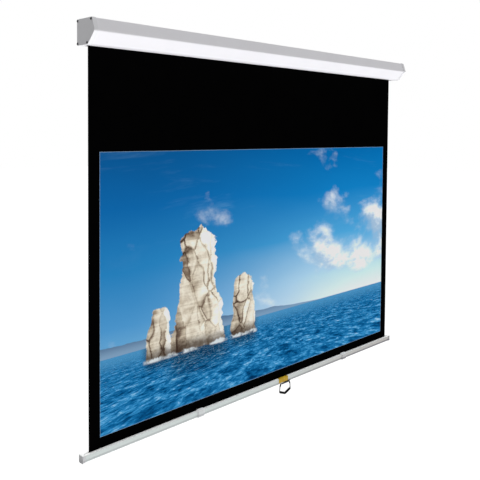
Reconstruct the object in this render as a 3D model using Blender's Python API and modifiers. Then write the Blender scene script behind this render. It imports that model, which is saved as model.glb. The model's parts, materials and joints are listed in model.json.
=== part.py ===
"""Pull down projector screen, built as its separate pieces.

Metres, +Z up, the screen's front faces -Y.
The origin is at the middle of the casing's back face, on the wall.
"""

import math

import bmesh
import bpy
from mathutils import Matrix, Vector

# Cloth
picture_width = 1.800
picture_height = 1.0125
side_border = 0.0465
top_drop = 0.3632
bottom_border = 0.0385
cloth_thickness = 0.0004
cloth_to_wall = 0.0202

# Gap left between pieces that rest on or pass through each other
clearance = 0.0003

# Casing section, depths from the wall and the nose's height from the casing's underside
casing_height = 0.086
casing_depth = 0.1053
casing_top_depth = 0.0909
casing_bottom_depth = 0.0654
nose_height = 0.0415
casing_wall = 0.0015
casing_corner = 0.0025
nose_corner = 0.006
slot_width = 0.018
slot_lip = 0.005
port_inset = 0.0048
port_radius = 0.0044

# Keyholes in the casing's back wall, their height from the middle of the casing
keyhole_spacing = 1.60
keyhole_head = 0.010
keyhole_neck = 0.005
keyhole_rise = 0.012
keyhole_height = 0.012

# End caps and the bearing plates under them
cap_wall = 0.0013
cap_plate = 0.0025
cap_skirt = 0.012
bearing_plate_thickness = 0.002
cap_screw_shank = 0.0035
cap_screw_head = 0.0084
cap_screw_head_height = 0.0020
cap_screw_bite = 0.012

# Roller
tube_diameter = 0.038
tube_wall = 0.0012
tube_margin = 0.006
head_to_plate = 0.0047
plug_length = 0.025
plug_flange = 0.003
spare_turns = 2
turn_gap = 0.0002

# Idler end, on the left
idler_pin_diameter = 0.006
idler_pin_depth = 0.018
idler_pin_chamfer = 0.0006
bush_diameter = 0.012
bush_flange_diameter = 0.018
bush_flange = 0.0015

# Spring and lock end, on the right
spindle_diameter = 0.006
spindle_length = 0.360
spindle_chamfer = 0.0005
tang_thickness = 0.0024
spring_diameter = 0.0158
spring_wire = 0.0018
spring_turns = 20
anchor_rim = 0.0006
anchor_length = 0.010
anchor_setback = 0.003
spring_plug_length = 0.025
spring_plug_socket = 0.013
cup_depth = 0.011
cup_wall = 0.0018
lock_disc_thickness = 0.004
lock_disc_setback = 0.003
notch_depth = 0.0025
notch_ramp_start = math.radians(-10)
notch_ramp_end = math.radians(24)
notch_face = math.radians(50)
pawl_to_cup = 0.0016
pawl_to_disc = 0.0009
pawl_pivot_angle = math.radians(158)
pawl_lean = math.radians(25)
pawl_length = 0.008
pawl_head = 0.0026
pawl_tip = 0.0012
pawl_thickness = 0.003
pawl_pin_diameter = 0.0024
pawl_pin_seat = 0.0022

# Bottom bar
bar_width = 0.022
bar_height = 0.0255
bar_wall = 0.0016
bar_top_corner = 0.0025
bar_bottom_corner = 0.0035
bar_slot = 0.003
bar_overhang = 0.0315
bar_cap_wall = 0.0013
bar_cap_plate = 0.0025
bar_cap_skirt = 0.0085
hem_rod_diameter = 0.006
bumper_length = 0.040
bumper_wall = 0.0032
bumper_spacing = 0.978
bumper_offset = 0.060

# Pull ring, its bracket and the bare sticker above it, to the right of the bar's middle
ring_top_width = 0.057
ring_shoulder_width = 0.070
ring_width = 0.075
ring_shoulder = 0.013
ring_side = 0.0365
ring_point = 0.0145
ring_wire = 0.0048
ring_side_wire = 0.0030
ring_grip = 0.0105
ring_offset = 0.103
ring_corner = 0.006
ring_point_corner = 0.009
bracket_shoulder = 0.0005
bracket_wall = 0.0010
bracket_drop = 0.0022
bracket_base = 0.0015
bracket_lip = 0.0045
bracket_lip_wall = 0.0012
bracket_edge = 0.0005
bracket_corner = 0.0020
bracket_fillet = 0.0006
bracket_draft = 0.0002
bracket_screw_margin = 0.009
bracket_screw_shank = 0.0018
bracket_screw_head = 0.0036
bracket_screw_head_height = 0.0012
bracket_screw_bite = 0.004
sticker_length = 0.064
sticker_margin = 0.0005
sticker_offset = 0.079
sticker_thickness = 0.0002

# Sizes that follow from those above
cloth_width = picture_width + 2 * side_border
cloth_drop = top_drop + picture_height + bottom_border
cloth_y = -cloth_to_wall
casing_top = casing_height / 2
casing_bottom = -casing_height / 2
tube_radius = tube_diameter / 2
tube_bore = tube_radius - tube_wall
tube_end = cloth_width / 2 + tube_margin
plug_radius = tube_bore - clearance
flange_inner = tube_end + clearance
flange_outer = flange_inner + plug_flange
cup_end = flange_outer + cup_depth
plate_inner = cup_end + head_to_plate
plate_outer = plate_inner + bearing_plate_thickness
half_length = plate_outer + clearance + cap_plate
casing_end = plate_inner - clearance
turn_pitch = cloth_thickness + turn_gap
inner_turn_radius = tube_radius + clearance + cloth_thickness / 2
outer_turn_radius = inner_turn_radius + spare_turns * turn_pitch
roller_y = cloth_y - outer_turn_radius
roller_z = 0.0
shank_hole = cap_screw_shank / 2 + clearance
spindle_radius = spindle_diameter / 2
spindle_hole = spindle_radius + clearance
spindle_tip = plate_outer - clearance
spindle_start = spindle_tip - spindle_length
socket_floor = spindle_start - clearance
spring_plug_face = socket_floor + spring_plug_socket
anchor_outer = tube_end - plug_length - anchor_setback
anchor_inner = anchor_outer - anchor_length
cup_bore = tube_radius - cup_wall
pawl_pivot_radius = cup_bore - pawl_to_cup - pawl_head
lock_disc_radius = pawl_pivot_radius - pawl_head - pawl_to_disc
disc_inner = flange_outer + lock_disc_setback
disc_middle = disc_inner + lock_disc_thickness / 2
pawl_inner = disc_middle - pawl_thickness / 2
bar_top = casing_bottom - cloth_drop
bar_bottom = bar_top - bar_height
bar_half_length = cloth_width / 2 + bar_overhang
bar_end = bar_half_length - bar_cap_plate - clearance
hem_bore = hem_rod_diameter / 2 + clearance
hem_radius = hem_bore + cloth_thickness
hem_z = bar_top - bar_wall - clearance - hem_radius
border_top = bar_top + bottom_border
ring_radius = ring_wire / 2
ring_bore = ring_radius + clearance
ring_z = bar_bottom - clearance - bracket_drop - bracket_wall - ring_bore
bracket_bottom = ring_z - ring_bore - bracket_wall
bracket_base_bottom = bar_bottom - clearance - bracket_base
bracket_seat_bottom = bracket_base_bottom - bracket_draft
bracket_top = bar_bottom + bracket_lip
bracket_boss = ring_bore + bracket_wall
bracket_length = ring_top_width - 2 * (ring_corner + bracket_shoulder)
bracket_screw_hole = bracket_screw_shank / 2 + clearance
bracket_screw_offset = bracket_boss + clearance + bracket_screw_head / 2
bracket_screw_spacing = bracket_length - 2 * bracket_screw_margin
sticker_bottom = bracket_top + clearance

# How finely round shapes are drawn
round_steps = 32
small_steps = 16
screw_steps = 12
corner_steps = 4
turn_steps = 36
coil_steps = 9
hem_steps = 24
least_corner = 0.0004
weld_distance = 0.00001


def clear_scene():
    for old in list(bpy.data.objects):
        bpy.data.objects.remove(old, do_unlink=True)


def new_collection(name):
    made = bpy.data.collections.new(name)
    bpy.context.scene.collection.children.link(made)
    return made


clear_scene()
pieces = new_collection("Pull_down_projector_screen")
cutters = new_collection("Cutters")


def finish(name, colour, roughness, metallic=0.0):
    """A plain Principled material."""
    made = bpy.data.materials.new(name)
    made.use_nodes = True
    shader = made.node_tree.nodes["Principled BSDF"]
    shader.inputs["Base Color"].default_value = (*colour, 1.0)
    shader.inputs["Roughness"].default_value = roughness
    shader.inputs["Metallic"].default_value = metallic
    return made


white_paint = finish("White_paint", (0.80, 0.80, 0.82), 0.35)
grey_plastic = finish("Grey_plastic", (0.66, 0.66, 0.68), 0.5)
dark_screw = finish("Dark_screw", (0.05, 0.05, 0.055), 0.4, 0.8)
zinc_steel = finish("Zinc_steel", (0.55, 0.55, 0.57), 0.35, 1.0)
steel = finish("Steel", (0.42, 0.42, 0.44), 0.3, 1.0)
spring_steel = finish("Spring_steel", (0.25, 0.25, 0.27), 0.35, 1.0)
nylon = finish("Nylon", (0.75, 0.74, 0.70), 0.45)
black_plastic = finish("Black_plastic", (0.02, 0.02, 0.02), 0.45)
black_wire = finish("Black_wire", (0.02, 0.02, 0.022), 0.3)
black_border = finish("Black_border", (0.004, 0.004, 0.004), 0.8)
screen_cloth = finish("Screen_cloth", (0.05, 0.22, 0.45), 0.8)
pale_aluminium = finish("Pale_aluminium", (0.70, 0.73, 0.72), 0.35, 0.6)
grey_rubber = finish("Grey_rubber", (0.45, 0.47, 0.47), 0.7)
ochre_sticker = finish("Ochre_sticker", (0.58, 0.42, 0.08), 0.5)


# Outlines are lists of (y, z) points, anticlockwise with +Y to the right and +Z up


def offset_outline(corners, distances):
    """A convex outline with each side moved outwards by its own distance. Side i starts at corner i."""
    count = len(corners)
    lines = []
    for i in range(count):
        start, end = Vector(corners[i]), Vector(corners[(i + 1) % count])
        along = (end - start).normalized()
        lines.append((start + Vector((along.y, -along.x)) * distances[i], along))
    moved = []
    for i in range(count):
        (p, u), (q, v) = lines[i - 1], lines[i]
        step = ((q.x - p.x) * v.y - (q.y - p.y) * v.x) / (u.x * v.y - u.y * v.x)
        moved.append(tuple(p + u * step))
    return moved


def rounded(corners, radii, steps=corner_steps):
    """A closed outline with each corner turned by an arc of its radius, or left sharp at radius 0."""
    points = []
    count = len(corners)
    for i, radius in enumerate(radii):
        corner = Vector(corners[i])
        if radius <= 0:
            points.append(tuple(corner))
            continue
        back = (Vector(corners[i - 1]) - corner).normalized()
        ahead = (Vector(corners[(i + 1) % count]) - corner).normalized()
        half = back.angle(ahead) / 2
        centre = corner + (back + ahead).normalized() * radius / math.sin(half)
        first = corner + back * radius / math.tan(half) - centre
        turn = first.angle_signed(corner + ahead * radius / math.tan(half) - centre)
        for k in range(steps + 1):
            arm = Matrix.Rotation(-turn * k / steps, 2) @ first
            points.append(tuple(centre + arm))
    return points


def circle(y, z, radius, steps=small_steps):
    angles = [2 * math.pi * k / steps for k in range(steps)]
    return [(y + radius * math.cos(a), z + radius * math.sin(a)) for a in angles]


def slotted_section(corners, radii, wall, slot, lip):
    """A hollow section's outline, open by a slot in the side that runs from the last corner to the first.

    slot is the pair of (y, z) places on that side where the slot's edges are, the first corner's one first.
    """
    inner = offset_outline(corners, [-wall] * len(corners))
    inner_radii = [max(radius - wall, least_corner) for radius in radii]
    near, far = Vector(slot[0]), Vector(slot[1])
    along = (near - far).normalized()
    inward = Vector((-along.y, along.x))
    rim = []
    for edge, towards in ((far, -along), (near, along)):
        lip_points = [edge + inward * wall]
        if lip > wall:
            deep, back = inward * lip, towards * wall
            lip_points = [edge + deep, edge + deep + back, edge + inward * wall + back]
        rim.append(lip_points)
    points = [near, *corners, far, *rim[0], *reversed(inner), *reversed(rim[1])]
    sharp = [0.0]
    turned_radii = [
        *sharp, *radii, *sharp, *sharp * len(rim[0]), *reversed(inner_radii), *sharp * len(rim[1])
    ]
    return rounded([tuple(p) for p in points], turned_radii)


def keep(piece, material, parent=None):
    """Gives a piece its material, and its parent without moving it."""
    piece.data.materials.clear()
    piece.data.materials.append(material)
    if parent is not None:
        piece.parent = parent
        piece.matrix_parent_inverse = Matrix.Translation(parent.location).inverted()
    return piece


def smooth(mesh, angle=math.radians(35)):
    mesh.shade_smooth()
    mesh.set_sharp_from_angle(angle=angle)


def swept(name, loops, low, high, group=pieces):
    """A solid with a flat outline, and holes if more loops follow, carried along X from low to high."""
    flat = bpy.data.curves.new(name, "CURVE")
    flat.dimensions = "2D"
    flat.fill_mode = "BOTH"
    flat.extrude = (high - low) / 2
    for loop in loops:
        spline = flat.splines.new("POLY")
        spline.points.add(len(loop) - 1)
        for point, (y, z) in zip(spline.points, loop):
            point.co = (y, z, 0.0, 1.0)
        spline.use_cyclic_u = True
    guide = bpy.data.objects.new(name, flat)
    pieces.objects.link(guide)
    guide.location = ((low + high) / 2, 0.0, 0.0)
    guide.rotation_euler = (math.pi / 2, 0.0, math.pi / 2)
    bpy.context.view_layer.update()
    made = as_mesh(guide, name)
    smooth(made.data)
    if group is not pieces:
        pieces.objects.unlink(made)
        group.objects.link(made)
    return made


def as_mesh(curve_object, name):
    """The curve's evaluated shape as a mesh object, with its loose caps welded on."""
    evaluated = curve_object.evaluated_get(bpy.context.evaluated_depsgraph_get())
    mesh = bpy.data.meshes.new_from_object(evaluated)
    made = bpy.data.objects.new(name, mesh)
    made.matrix_world = curve_object.matrix_world.copy()
    pieces.objects.link(made)
    curve = curve_object.data
    bpy.data.objects.remove(curve_object, do_unlink=True)
    bpy.data.curves.remove(curve)
    made.name = name
    welded = bmesh.new()
    welded.from_mesh(mesh)
    bmesh.ops.remove_doubles(welded, verts=welded.verts, dist=weld_distance)
    bmesh.ops.recalc_face_normals(welded, faces=welded.faces)
    welded.to_mesh(mesh)
    welded.free()
    return made


def turned(name, profile, place, direction=1, closed=False, steps=round_steps, tip=None, group=pieces):
    """A turned piece. profile is (radius, distance) points that run down the outer side.

    The distance runs along X from place, towards +X or -X by direction, or as tip, a rotation, turns it.
    """
    mesh = bpy.data.meshes.new(name)
    count = len(profile)
    edges = [(i, (i + 1) % count) for i in range(count if closed else count - 1)]
    mesh.from_pydata([(radius, 0.0, along) for radius, along in profile], edges, [])
    made = bpy.data.objects.new(name, mesh)
    group.objects.link(made)
    made.location = place
    made.rotation_euler = tip if tip is not None else (0.0, direction * math.pi / 2, 0.0)
    screw = made.modifiers.new("Turn", "SCREW")
    screw.axis = "Z"
    screw.angle = 2 * math.pi
    screw.steps = steps
    screw.render_steps = steps
    screw.use_merge_vertices = True
    screw.merge_threshold = weld_distance
    screw.use_smooth_shade = True
    return made


def combine(piece, other, operation):
    """A Boolean with another solid, which is kept as a hidden cutter."""
    for group in list(other.users_collection):
        group.objects.unlink(other)
    cutters.objects.link(other)
    other.hide_render = True
    other.display_type = "WIRE"
    step = piece.modifiers.new(f"{operation.title()}_{other.name}", "BOOLEAN")
    step.operation = operation
    step.solver = "EXACT"
    step.object = other
    return piece


def rod_cutter(name, radius, length, centre, rotation):
    bpy.ops.mesh.primitive_cylinder_add(
        vertices=small_steps, radius=radius, depth=length, location=centre, rotation=rotation
    )
    made = bpy.context.object
    made.name = name
    return made


def box(name, size, centre):
    bpy.ops.mesh.primitive_cube_add(size=1.0, location=centre)
    made = bpy.context.object
    made.name = name
    made.scale = size
    bpy.ops.object.transform_apply(location=False, rotation=False, scale=True)
    for group in list(made.users_collection):
        group.objects.unlink(made)
    pieces.objects.link(made)
    return made


def joint_axis(name, place):
    """An empty on a joint's axis, which carries the pieces that move with it."""
    made = bpy.data.objects.new(name, None)
    made.empty_display_size = 0.02
    made.location = place
    pieces.objects.link(made)
    return made


roller_axis = joint_axis("roller_axis", (0.0, roller_y, roller_z))
bar_guide = joint_axis("bar_guide", (0.0, cloth_y, bar_top))

side_names = {-1: "left", 1: "right"}

# The casing's corners, from the lower back corner up the wall and round the front
casing_corners = [
    (0.0, casing_bottom),
    (0.0, casing_top),
    (-casing_top_depth, casing_top),
    (-casing_depth, casing_bottom + nose_height),
    (-casing_bottom_depth, casing_bottom),
]
casing_radii = [casing_corner, casing_corner, casing_corner, nose_corner, casing_corner]
port_corners = offset_outline(casing_corners, [-port_inset] * 5)
port_places = [port_corners[i] for i in (0, 1, 2, 4)]


def casing():
    slot = (
        (cloth_y + slot_width / 2, casing_bottom),
        (cloth_y - slot_width / 2, casing_bottom),
    )
    section = slotted_section(casing_corners, casing_radii, casing_wall, slot, slot_lip)
    shell = swept("casing_shell", [section], -casing_end, casing_end)
    for number, (y, z) in enumerate(port_places, 1):
        loops = [circle(y, z, port_radius), circle(y, z, shank_hole)]
        port = swept(f"screw_port_{number}", loops, -casing_end, casing_end, cutters)
        combine(shell, port, "UNION")
    for side, word in side_names.items():
        combine(shell, keyhole(f"{word}_keyhole", side * keyhole_spacing / 2), "DIFFERENCE")
    return keep(shell, white_paint)


def keyhole(name, x):
    """A cutter through the back wall: a round entry with a narrow neck above it for the wall screw."""
    entry = keyhole_head / 2
    neck = keyhole_neck / 2
    meet = math.sqrt(entry**2 - neck**2)
    start = math.atan2(meet, neck)
    around = [start - k * (math.pi + 2 * start) / small_steps for k in range(small_steps + 1)]
    outline = [(entry * math.cos(a), entry * math.sin(a)) for a in around]
    over = [math.pi - k * math.pi / corner_steps for k in range(corner_steps + 1)]
    outline += [(neck * math.cos(a), keyhole_rise + neck * math.sin(a)) for a in over]
    made = swept(name, [outline], -casing_wall * 2, casing_wall * 2, cutters)
    made.rotation_euler = (math.pi / 2, 0.0, 0.0)
    made.location = (x, 0.0, keyhole_height)
    return made


def end_cap(side):
    word = side_names[side]
    outer = offset_outline(casing_corners, [0.0] + [clearance + cap_wall] * 4)
    pocket = offset_outline(casing_corners, [cap_plate] + [clearance] * 4)
    grow = clearance + cap_wall
    outer_radii = [casing_corner + grow] * 3 + [nose_corner + grow, casing_corner + grow]
    pocket_radii = [0.0, 0.0, casing_corner + clearance, nose_corner + clearance, casing_corner + clearance]
    inner_end = plate_outer - bearing_plate_thickness - cap_skirt
    low, high = sorted((side * inner_end, side * half_length))
    loops = [rounded(outer, outer_radii)] + [circle(y, z, shank_hole) for y, z in port_places]
    cap = swept(f"{word}_end_cap", loops, low, high)
    low, high = sorted((side * (inner_end - cap_plate), side * (plate_outer + clearance)))
    combine(cap, swept(f"{word}_cap_pocket", [rounded(pocket, pocket_radii)], low, high), "DIFFERENCE")
    return keep(cap, grey_plastic)


def bearing_plate(side):
    loops = [rounded(casing_corners, casing_radii)]
    loops += [circle(y, z, shank_hole) for y, z in port_places]
    if side < 0:
        loops.append(circle(roller_y, roller_z, bush_diameter / 2 + clearance, round_steps))
    else:
        half_width = spindle_radius + clearance
        half_height = tang_thickness / 2 + clearance
        loops.append([
            (roller_y + half_width * a, roller_z + half_height * b)
            for a, b in ((-1, -1), (1, -1), (1, 1), (-1, 1))
        ])
    low, high = sorted((side * plate_inner, side * plate_outer))
    return keep(swept(f"{side_names[side]}_bearing_plate", loops, low, high), zinc_steel)


def pan_screw(name, place, head, head_height, shank, reach, material, parent=None, **how):
    """A domed screw whose head rests on place and whose pointed shank reaches back from it."""
    radius, stem = head / 2, shank / 2
    profile = [
        (0.0, head_height),
        (radius * 0.55, head_height * 0.92),
        (radius * 0.88, head_height * 0.62),
        (radius, head_height * 0.2),
        (radius, 0.0),
        (stem, 0.0),
        (stem, stem - reach),
        (0.0, -reach),
    ]
    return keep(turned(name, profile, place, steps=screw_steps, **how), material, parent)


def cap_screws(side):
    word = side_names[side]
    seat = half_length + clearance
    reach = seat - casing_end + cap_screw_bite
    for number, (y, z) in enumerate(port_places, 1):
        pan_screw(
            f"{word}_cap_screw_{number}", (side * seat, y, z), cap_screw_head, cap_screw_head_height,
            cap_screw_shank, reach, dark_screw, direction=side,
        )


def idler_end():
    barrel, flange = bush_diameter / 2, bush_flange_diameter / 2
    bore = idler_pin_diameter / 2 + clearance
    face = plate_inner - clearance
    profile = [
        (barrel, plate_outer), (barrel, face), (flange, face), (flange, face - bush_flange),
        (bore, face - bush_flange), (bore, plate_outer),
    ]
    centre = (0.0, roller_y, roller_z)
    bush = turned("idler_bush", profile, centre, -1, closed=True)
    keep(bush, nylon)
    profile = [
        (tube_radius, flange_outer), (tube_radius, flange_inner), (plug_radius, flange_inner),
        (plug_radius, tube_end - plug_length), (bore, tube_end - plug_length), (bore, flange_outer),
    ]
    keep(turned("idler_plug", profile, centre, -1, closed=True), nylon, roller_axis)
    radius = idler_pin_diameter / 2
    pin_start = tube_end - idler_pin_depth
    profile = [
        (0.0, plate_outer), (radius - idler_pin_chamfer, plate_outer),
        (radius, plate_outer - idler_pin_chamfer), (radius, pin_start), (0.0, pin_start),
    ]
    keep(turned("idler_pin", profile, centre, -1, steps=small_steps), steel, roller_axis)


def roller():
    loops = [
        circle(roller_y, roller_z, tube_radius, round_steps),
        circle(roller_y, roller_z, tube_bore, round_steps),
    ]
    keep(swept("roller_tube", loops, -tube_end, tube_end), zinc_steel, roller_axis)
    keep(swept("fabric_roll", [wound_turns()], -cloth_width / 2, cloth_width / 2), black_border, roller_axis)


def wound_turns():
    """The cloth's spare turns: a spiral whose outer end is at the back, where the cloth leaves it."""
    half = cloth_thickness / 2
    points = []
    for k in range(spare_turns * turn_steps + 1):
        turn = 2 * math.pi * k / turn_steps
        radius = outer_turn_radius - turn_pitch * k / turn_steps
        points.append((turn, radius))
    path = [(turn, radius + half) for turn, radius in points]
    path += [(turn, radius - half) for turn, radius in reversed(points)]
    return [(roller_y + r * math.cos(a), roller_z + r * math.sin(a)) for a, r in path]


def spring_end():
    centre = (0.0, roller_y, roller_z)
    tang_start = plate_inner - clearance * 2
    profile = [
        (0.0, spindle_tip), (spindle_radius, spindle_tip),
        (spindle_radius, spindle_start + spindle_chamfer),
        (spindle_radius - spindle_chamfer, spindle_start),
        (0.0, spindle_start),
    ]
    spindle = turned("spring_spindle", profile, centre, steps=small_steps)
    tang_length = spindle_tip - tang_start
    for sign, word in ((-1, "lower"), (1, "upper")):
        flat = box(
            f"{word}_tang_cut",
            (tang_length * 2, spindle_diameter * 2, spindle_radius),
            (tang_start + tang_length, roller_y, roller_z + sign * (tang_thickness + spindle_radius) / 2),
        )
        combine(spindle, flat, "DIFFERENCE")
    keep(spindle, steel)

    hub = spring_diameter / 2 + anchor_rim
    profile = [
        (hub, anchor_outer), (hub, anchor_inner), (spindle_hole, anchor_inner), (spindle_hole, anchor_outer)
    ]
    keep(turned("spring_anchor", profile, centre, closed=True, steps=small_steps), zinc_steel)
    plug_start = spring_plug_face - spring_plug_length
    profile = [
        (0.0, socket_floor), (spindle_hole, socket_floor), (spindle_hole, spring_plug_face),
        (plug_radius, spring_plug_face), (plug_radius, plug_start), (0.0, plug_start),
    ]
    keep(turned("spring_plug", profile, centre), nylon, roller_axis)
    keep(torsion_spring(), spring_steel)


def torsion_spring():
    """An open coil from the turning plug to the fixed anchor, one unbroken wire."""
    wire = spring_wire / 2
    middle = spring_diameter / 2 - wire
    start = spring_plug_face + clearance + wire
    end = anchor_inner - clearance - wire
    coil = bpy.data.curves.new("torsion_spring", "CURVE")
    coil.dimensions = "3D"
    coil.bevel_depth = wire
    coil.bevel_resolution = 1
    coil.use_fill_caps = True
    count = spring_turns * coil_steps + 1
    spline = coil.splines.new("POLY")
    spline.points.add(count - 1)
    for k, point in enumerate(spline.points):
        turn = 2 * math.pi * k / coil_steps
        along = start + (end - start) * k / (count - 1)
        point.co = (along, middle * math.cos(turn), middle * math.sin(turn), 1.0)
    made = bpy.data.objects.new("torsion_spring", coil)
    made.location = (0.0, roller_y, roller_z)
    pieces.objects.link(made)
    return made


def lock():
    """The head plug turns with the roller and carries the pawl, which drops into the fixed disc's notches."""
    centre = (0.0, roller_y, roller_z)
    profile = [
        (tube_radius, cup_end), (tube_radius, flange_inner), (plug_radius, flange_inner),
        (plug_radius, tube_end - plug_length), (spindle_hole, tube_end - plug_length),
        (spindle_hole, flange_outer), (cup_bore, flange_outer), (cup_bore, cup_end),
    ]
    head = turned("lock_head", profile, centre, closed=True)
    pivot = (
        roller_y + pawl_pivot_radius * math.cos(pawl_pivot_angle),
        roller_z + pawl_pivot_radius * math.sin(pawl_pivot_angle),
    )
    pin_radius = pawl_pin_diameter / 2
    seat = rod_cutter(
        "pawl_pin_seat", pin_radius + clearance, 2 * (pawl_pin_seat + clearance),
        (flange_outer, *pivot), (0.0, math.pi / 2, 0.0),
    )
    keep(combine(head, seat, "DIFFERENCE"), black_plastic, roller_axis)

    pin_end = disc_inner + lock_disc_thickness + clearance
    profile = [
        (0.0, pin_end), (pin_radius, pin_end), (pin_radius, flange_outer - pawl_pin_seat),
        (0.0, flange_outer - pawl_pin_seat),
    ]
    keep(turned("pawl_pin", profile, (0.0, *pivot), steps=screw_steps), steel, roller_axis)

    disc = swept("lock_disc", [notched_disc(), circle(roller_y, roller_z, spindle_hole)],
                 disc_inner, disc_inner + lock_disc_thickness)
    keep(disc, steel)

    pawl_axis = joint_axis("pawl_axis", (disc_middle, *pivot))
    pawl_axis.parent = roller_axis
    pawl_axis.matrix_parent_inverse = Matrix.Translation(roller_axis.location).inverted()
    loops = [pawl_outline(pivot), circle(*pivot, pin_radius + clearance, screw_steps)]
    keep(swept("lock_pawl", loops, pawl_inner, pawl_inner + pawl_thickness), steel, pawl_axis)


def notched_disc():
    """Two ratchet notches half a turn apart, each a ramp down from the pawl's side to a radial face."""
    rim = lock_disc_radius
    floor = rim - notch_depth
    floor_turn = notch_face - notch_ramp_end
    rim_turn = math.pi + notch_ramp_start - notch_face
    points = []
    for half_turn in (0.0, math.pi):
        base = pawl_pivot_angle + half_turn
        points.append((rim, base + notch_ramp_start))
        for k in range(corner_steps):
            points.append((floor, base + notch_ramp_end + floor_turn * k / (corner_steps - 1)))
        for k in range(screw_steps):
            points.append((rim, base + notch_face + rim_turn * k / screw_steps))
    return [(roller_y + r * math.cos(a), roller_z + r * math.sin(a)) for r, a in points]


def pawl_outline(pivot):
    """A tapered lever from its round head on the pin down to its small round tip, swung clear of the disc."""
    tangent = Vector((-math.sin(pawl_pivot_angle), math.cos(pawl_pivot_angle)))
    inward = -Vector((math.cos(pawl_pivot_angle), math.sin(pawl_pivot_angle)))
    along = tangent * math.cos(pawl_lean) + inward * math.sin(pawl_lean)
    across = Vector((-along.y, along.x))
    slope = math.asin((pawl_head - pawl_tip) / pawl_length)
    centre = Vector(pivot)
    tip = centre + along * pawl_length
    points = []
    for middle, radius, start, end in (
        (centre, pawl_head, math.pi / 2 - slope, 3 * math.pi / 2 + slope),
        (tip, pawl_tip, -math.pi / 2 + slope, math.pi / 2 - slope),
    ):
        for k in range(small_steps // 2 + 1):
            a = start + (end - start) * 2 * k / small_steps
            points.append(tuple(middle + (along * math.cos(a) + across * math.sin(a)) * radius))
    return points


def hanging_cloth():
    """The cloth that hangs between the roller and the bar's black border, a flat sheet."""
    top, low = roller_z - clearance, border_top + clearance
    sheet = box("screen_fabric", (cloth_width, cloth_thickness, top - low), (0.0, cloth_y, (top + low) / 2))
    keep(sheet, screen_cloth)
    half = cloth_thickness / 2
    start = math.asin(half / hem_radius)
    around = [
        math.pi / 2 + start + (2 * math.pi - 2 * start) * k / hem_steps for k in range(hem_steps + 1)
    ]
    outline = [(cloth_y + hem_radius * math.cos(a), hem_z + hem_radius * math.sin(a)) for a in around]
    outline += [(cloth_y + half, border_top), (cloth_y - half, border_top)]
    loops = [outline, circle(cloth_y, hem_z, hem_bore)]
    hem = swept("fabric_hem", loops, -cloth_width / 2, cloth_width / 2)
    keep(hem, black_border, bar_guide)
    rod = swept("hem_rod", [circle(cloth_y, hem_z, hem_rod_diameter / 2)], -cloth_width / 2, cloth_width / 2)
    keep(rod, steel, bar_guide)


bar_corners = [
    (cloth_y - bar_width / 2, bar_top),
    (cloth_y - bar_width / 2, bar_bottom),
    (cloth_y + bar_width / 2, bar_bottom),
    (cloth_y + bar_width / 2, bar_top),
]
bar_radii = [bar_top_corner, bar_bottom_corner, bar_bottom_corner, bar_top_corner]
bracket_screw_places = [
    (ring_offset + side * bracket_screw_spacing / 2, cloth_y + side * bracket_screw_offset)
    for side in (-1, 1)
]


def bottom_bar():
    slot = ((cloth_y - bar_slot / 2, bar_top), (cloth_y + bar_slot / 2, bar_top))
    section = slotted_section(bar_corners, bar_radii, bar_wall, slot, 0.0)
    bar = swept("bottom_bar", [section], -bar_end, bar_end)
    for number, (x, y) in enumerate(bracket_screw_places, 1):
        hole = rod_cutter(
            f"bar_screw_hole_{number}", bracket_screw_hole, 4 * bar_wall,
            (x, y, bar_bottom), (0.0, 0.0, 0.0),
        )
        combine(bar, hole, "DIFFERENCE")
    keep(bar, pale_aluminium, bar_guide)
    for side, word in side_names.items():
        bar_cap(side, word)
        bumper(side, word)


def grown_bar(distance):
    corners = offset_outline(bar_corners, [distance] * 4)
    return corners, [radius + distance for radius in bar_radii]


def bar_cap(side, word):
    inner_end = bar_end - bar_cap_skirt
    low, high = sorted((side * inner_end, side * bar_half_length))
    cap = swept(f"{word}_bar_cap", [rounded(*grown_bar(clearance + bar_cap_wall))], low, high)
    low, high = sorted((side * (inner_end - bar_cap_plate), side * (bar_end + clearance)))
    pocket = swept(f"{word}_bar_cap_pocket", [rounded(*grown_bar(clearance))], low, high)
    keep(combine(cap, pocket, "DIFFERENCE"), grey_plastic, bar_guide)


def bumper(side, word):
    """A clip round the bar, open above for the cloth. It meets the casing when the screen is rolled up."""
    corners, radii = grown_bar(clearance + bumper_wall)
    top = corners[0][1]
    slot = ((cloth_y - bar_slot / 2, top), (cloth_y + bar_slot / 2, top))
    section = slotted_section(corners, radii, bumper_wall, slot, 0.0)
    middle = bumper_offset + side * bumper_spacing / 2
    clip = swept(f"{word}_bumper", [section], middle - bumper_length / 2, middle + bumper_length / 2)
    keep(clip, grey_rubber, bar_guide)


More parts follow.
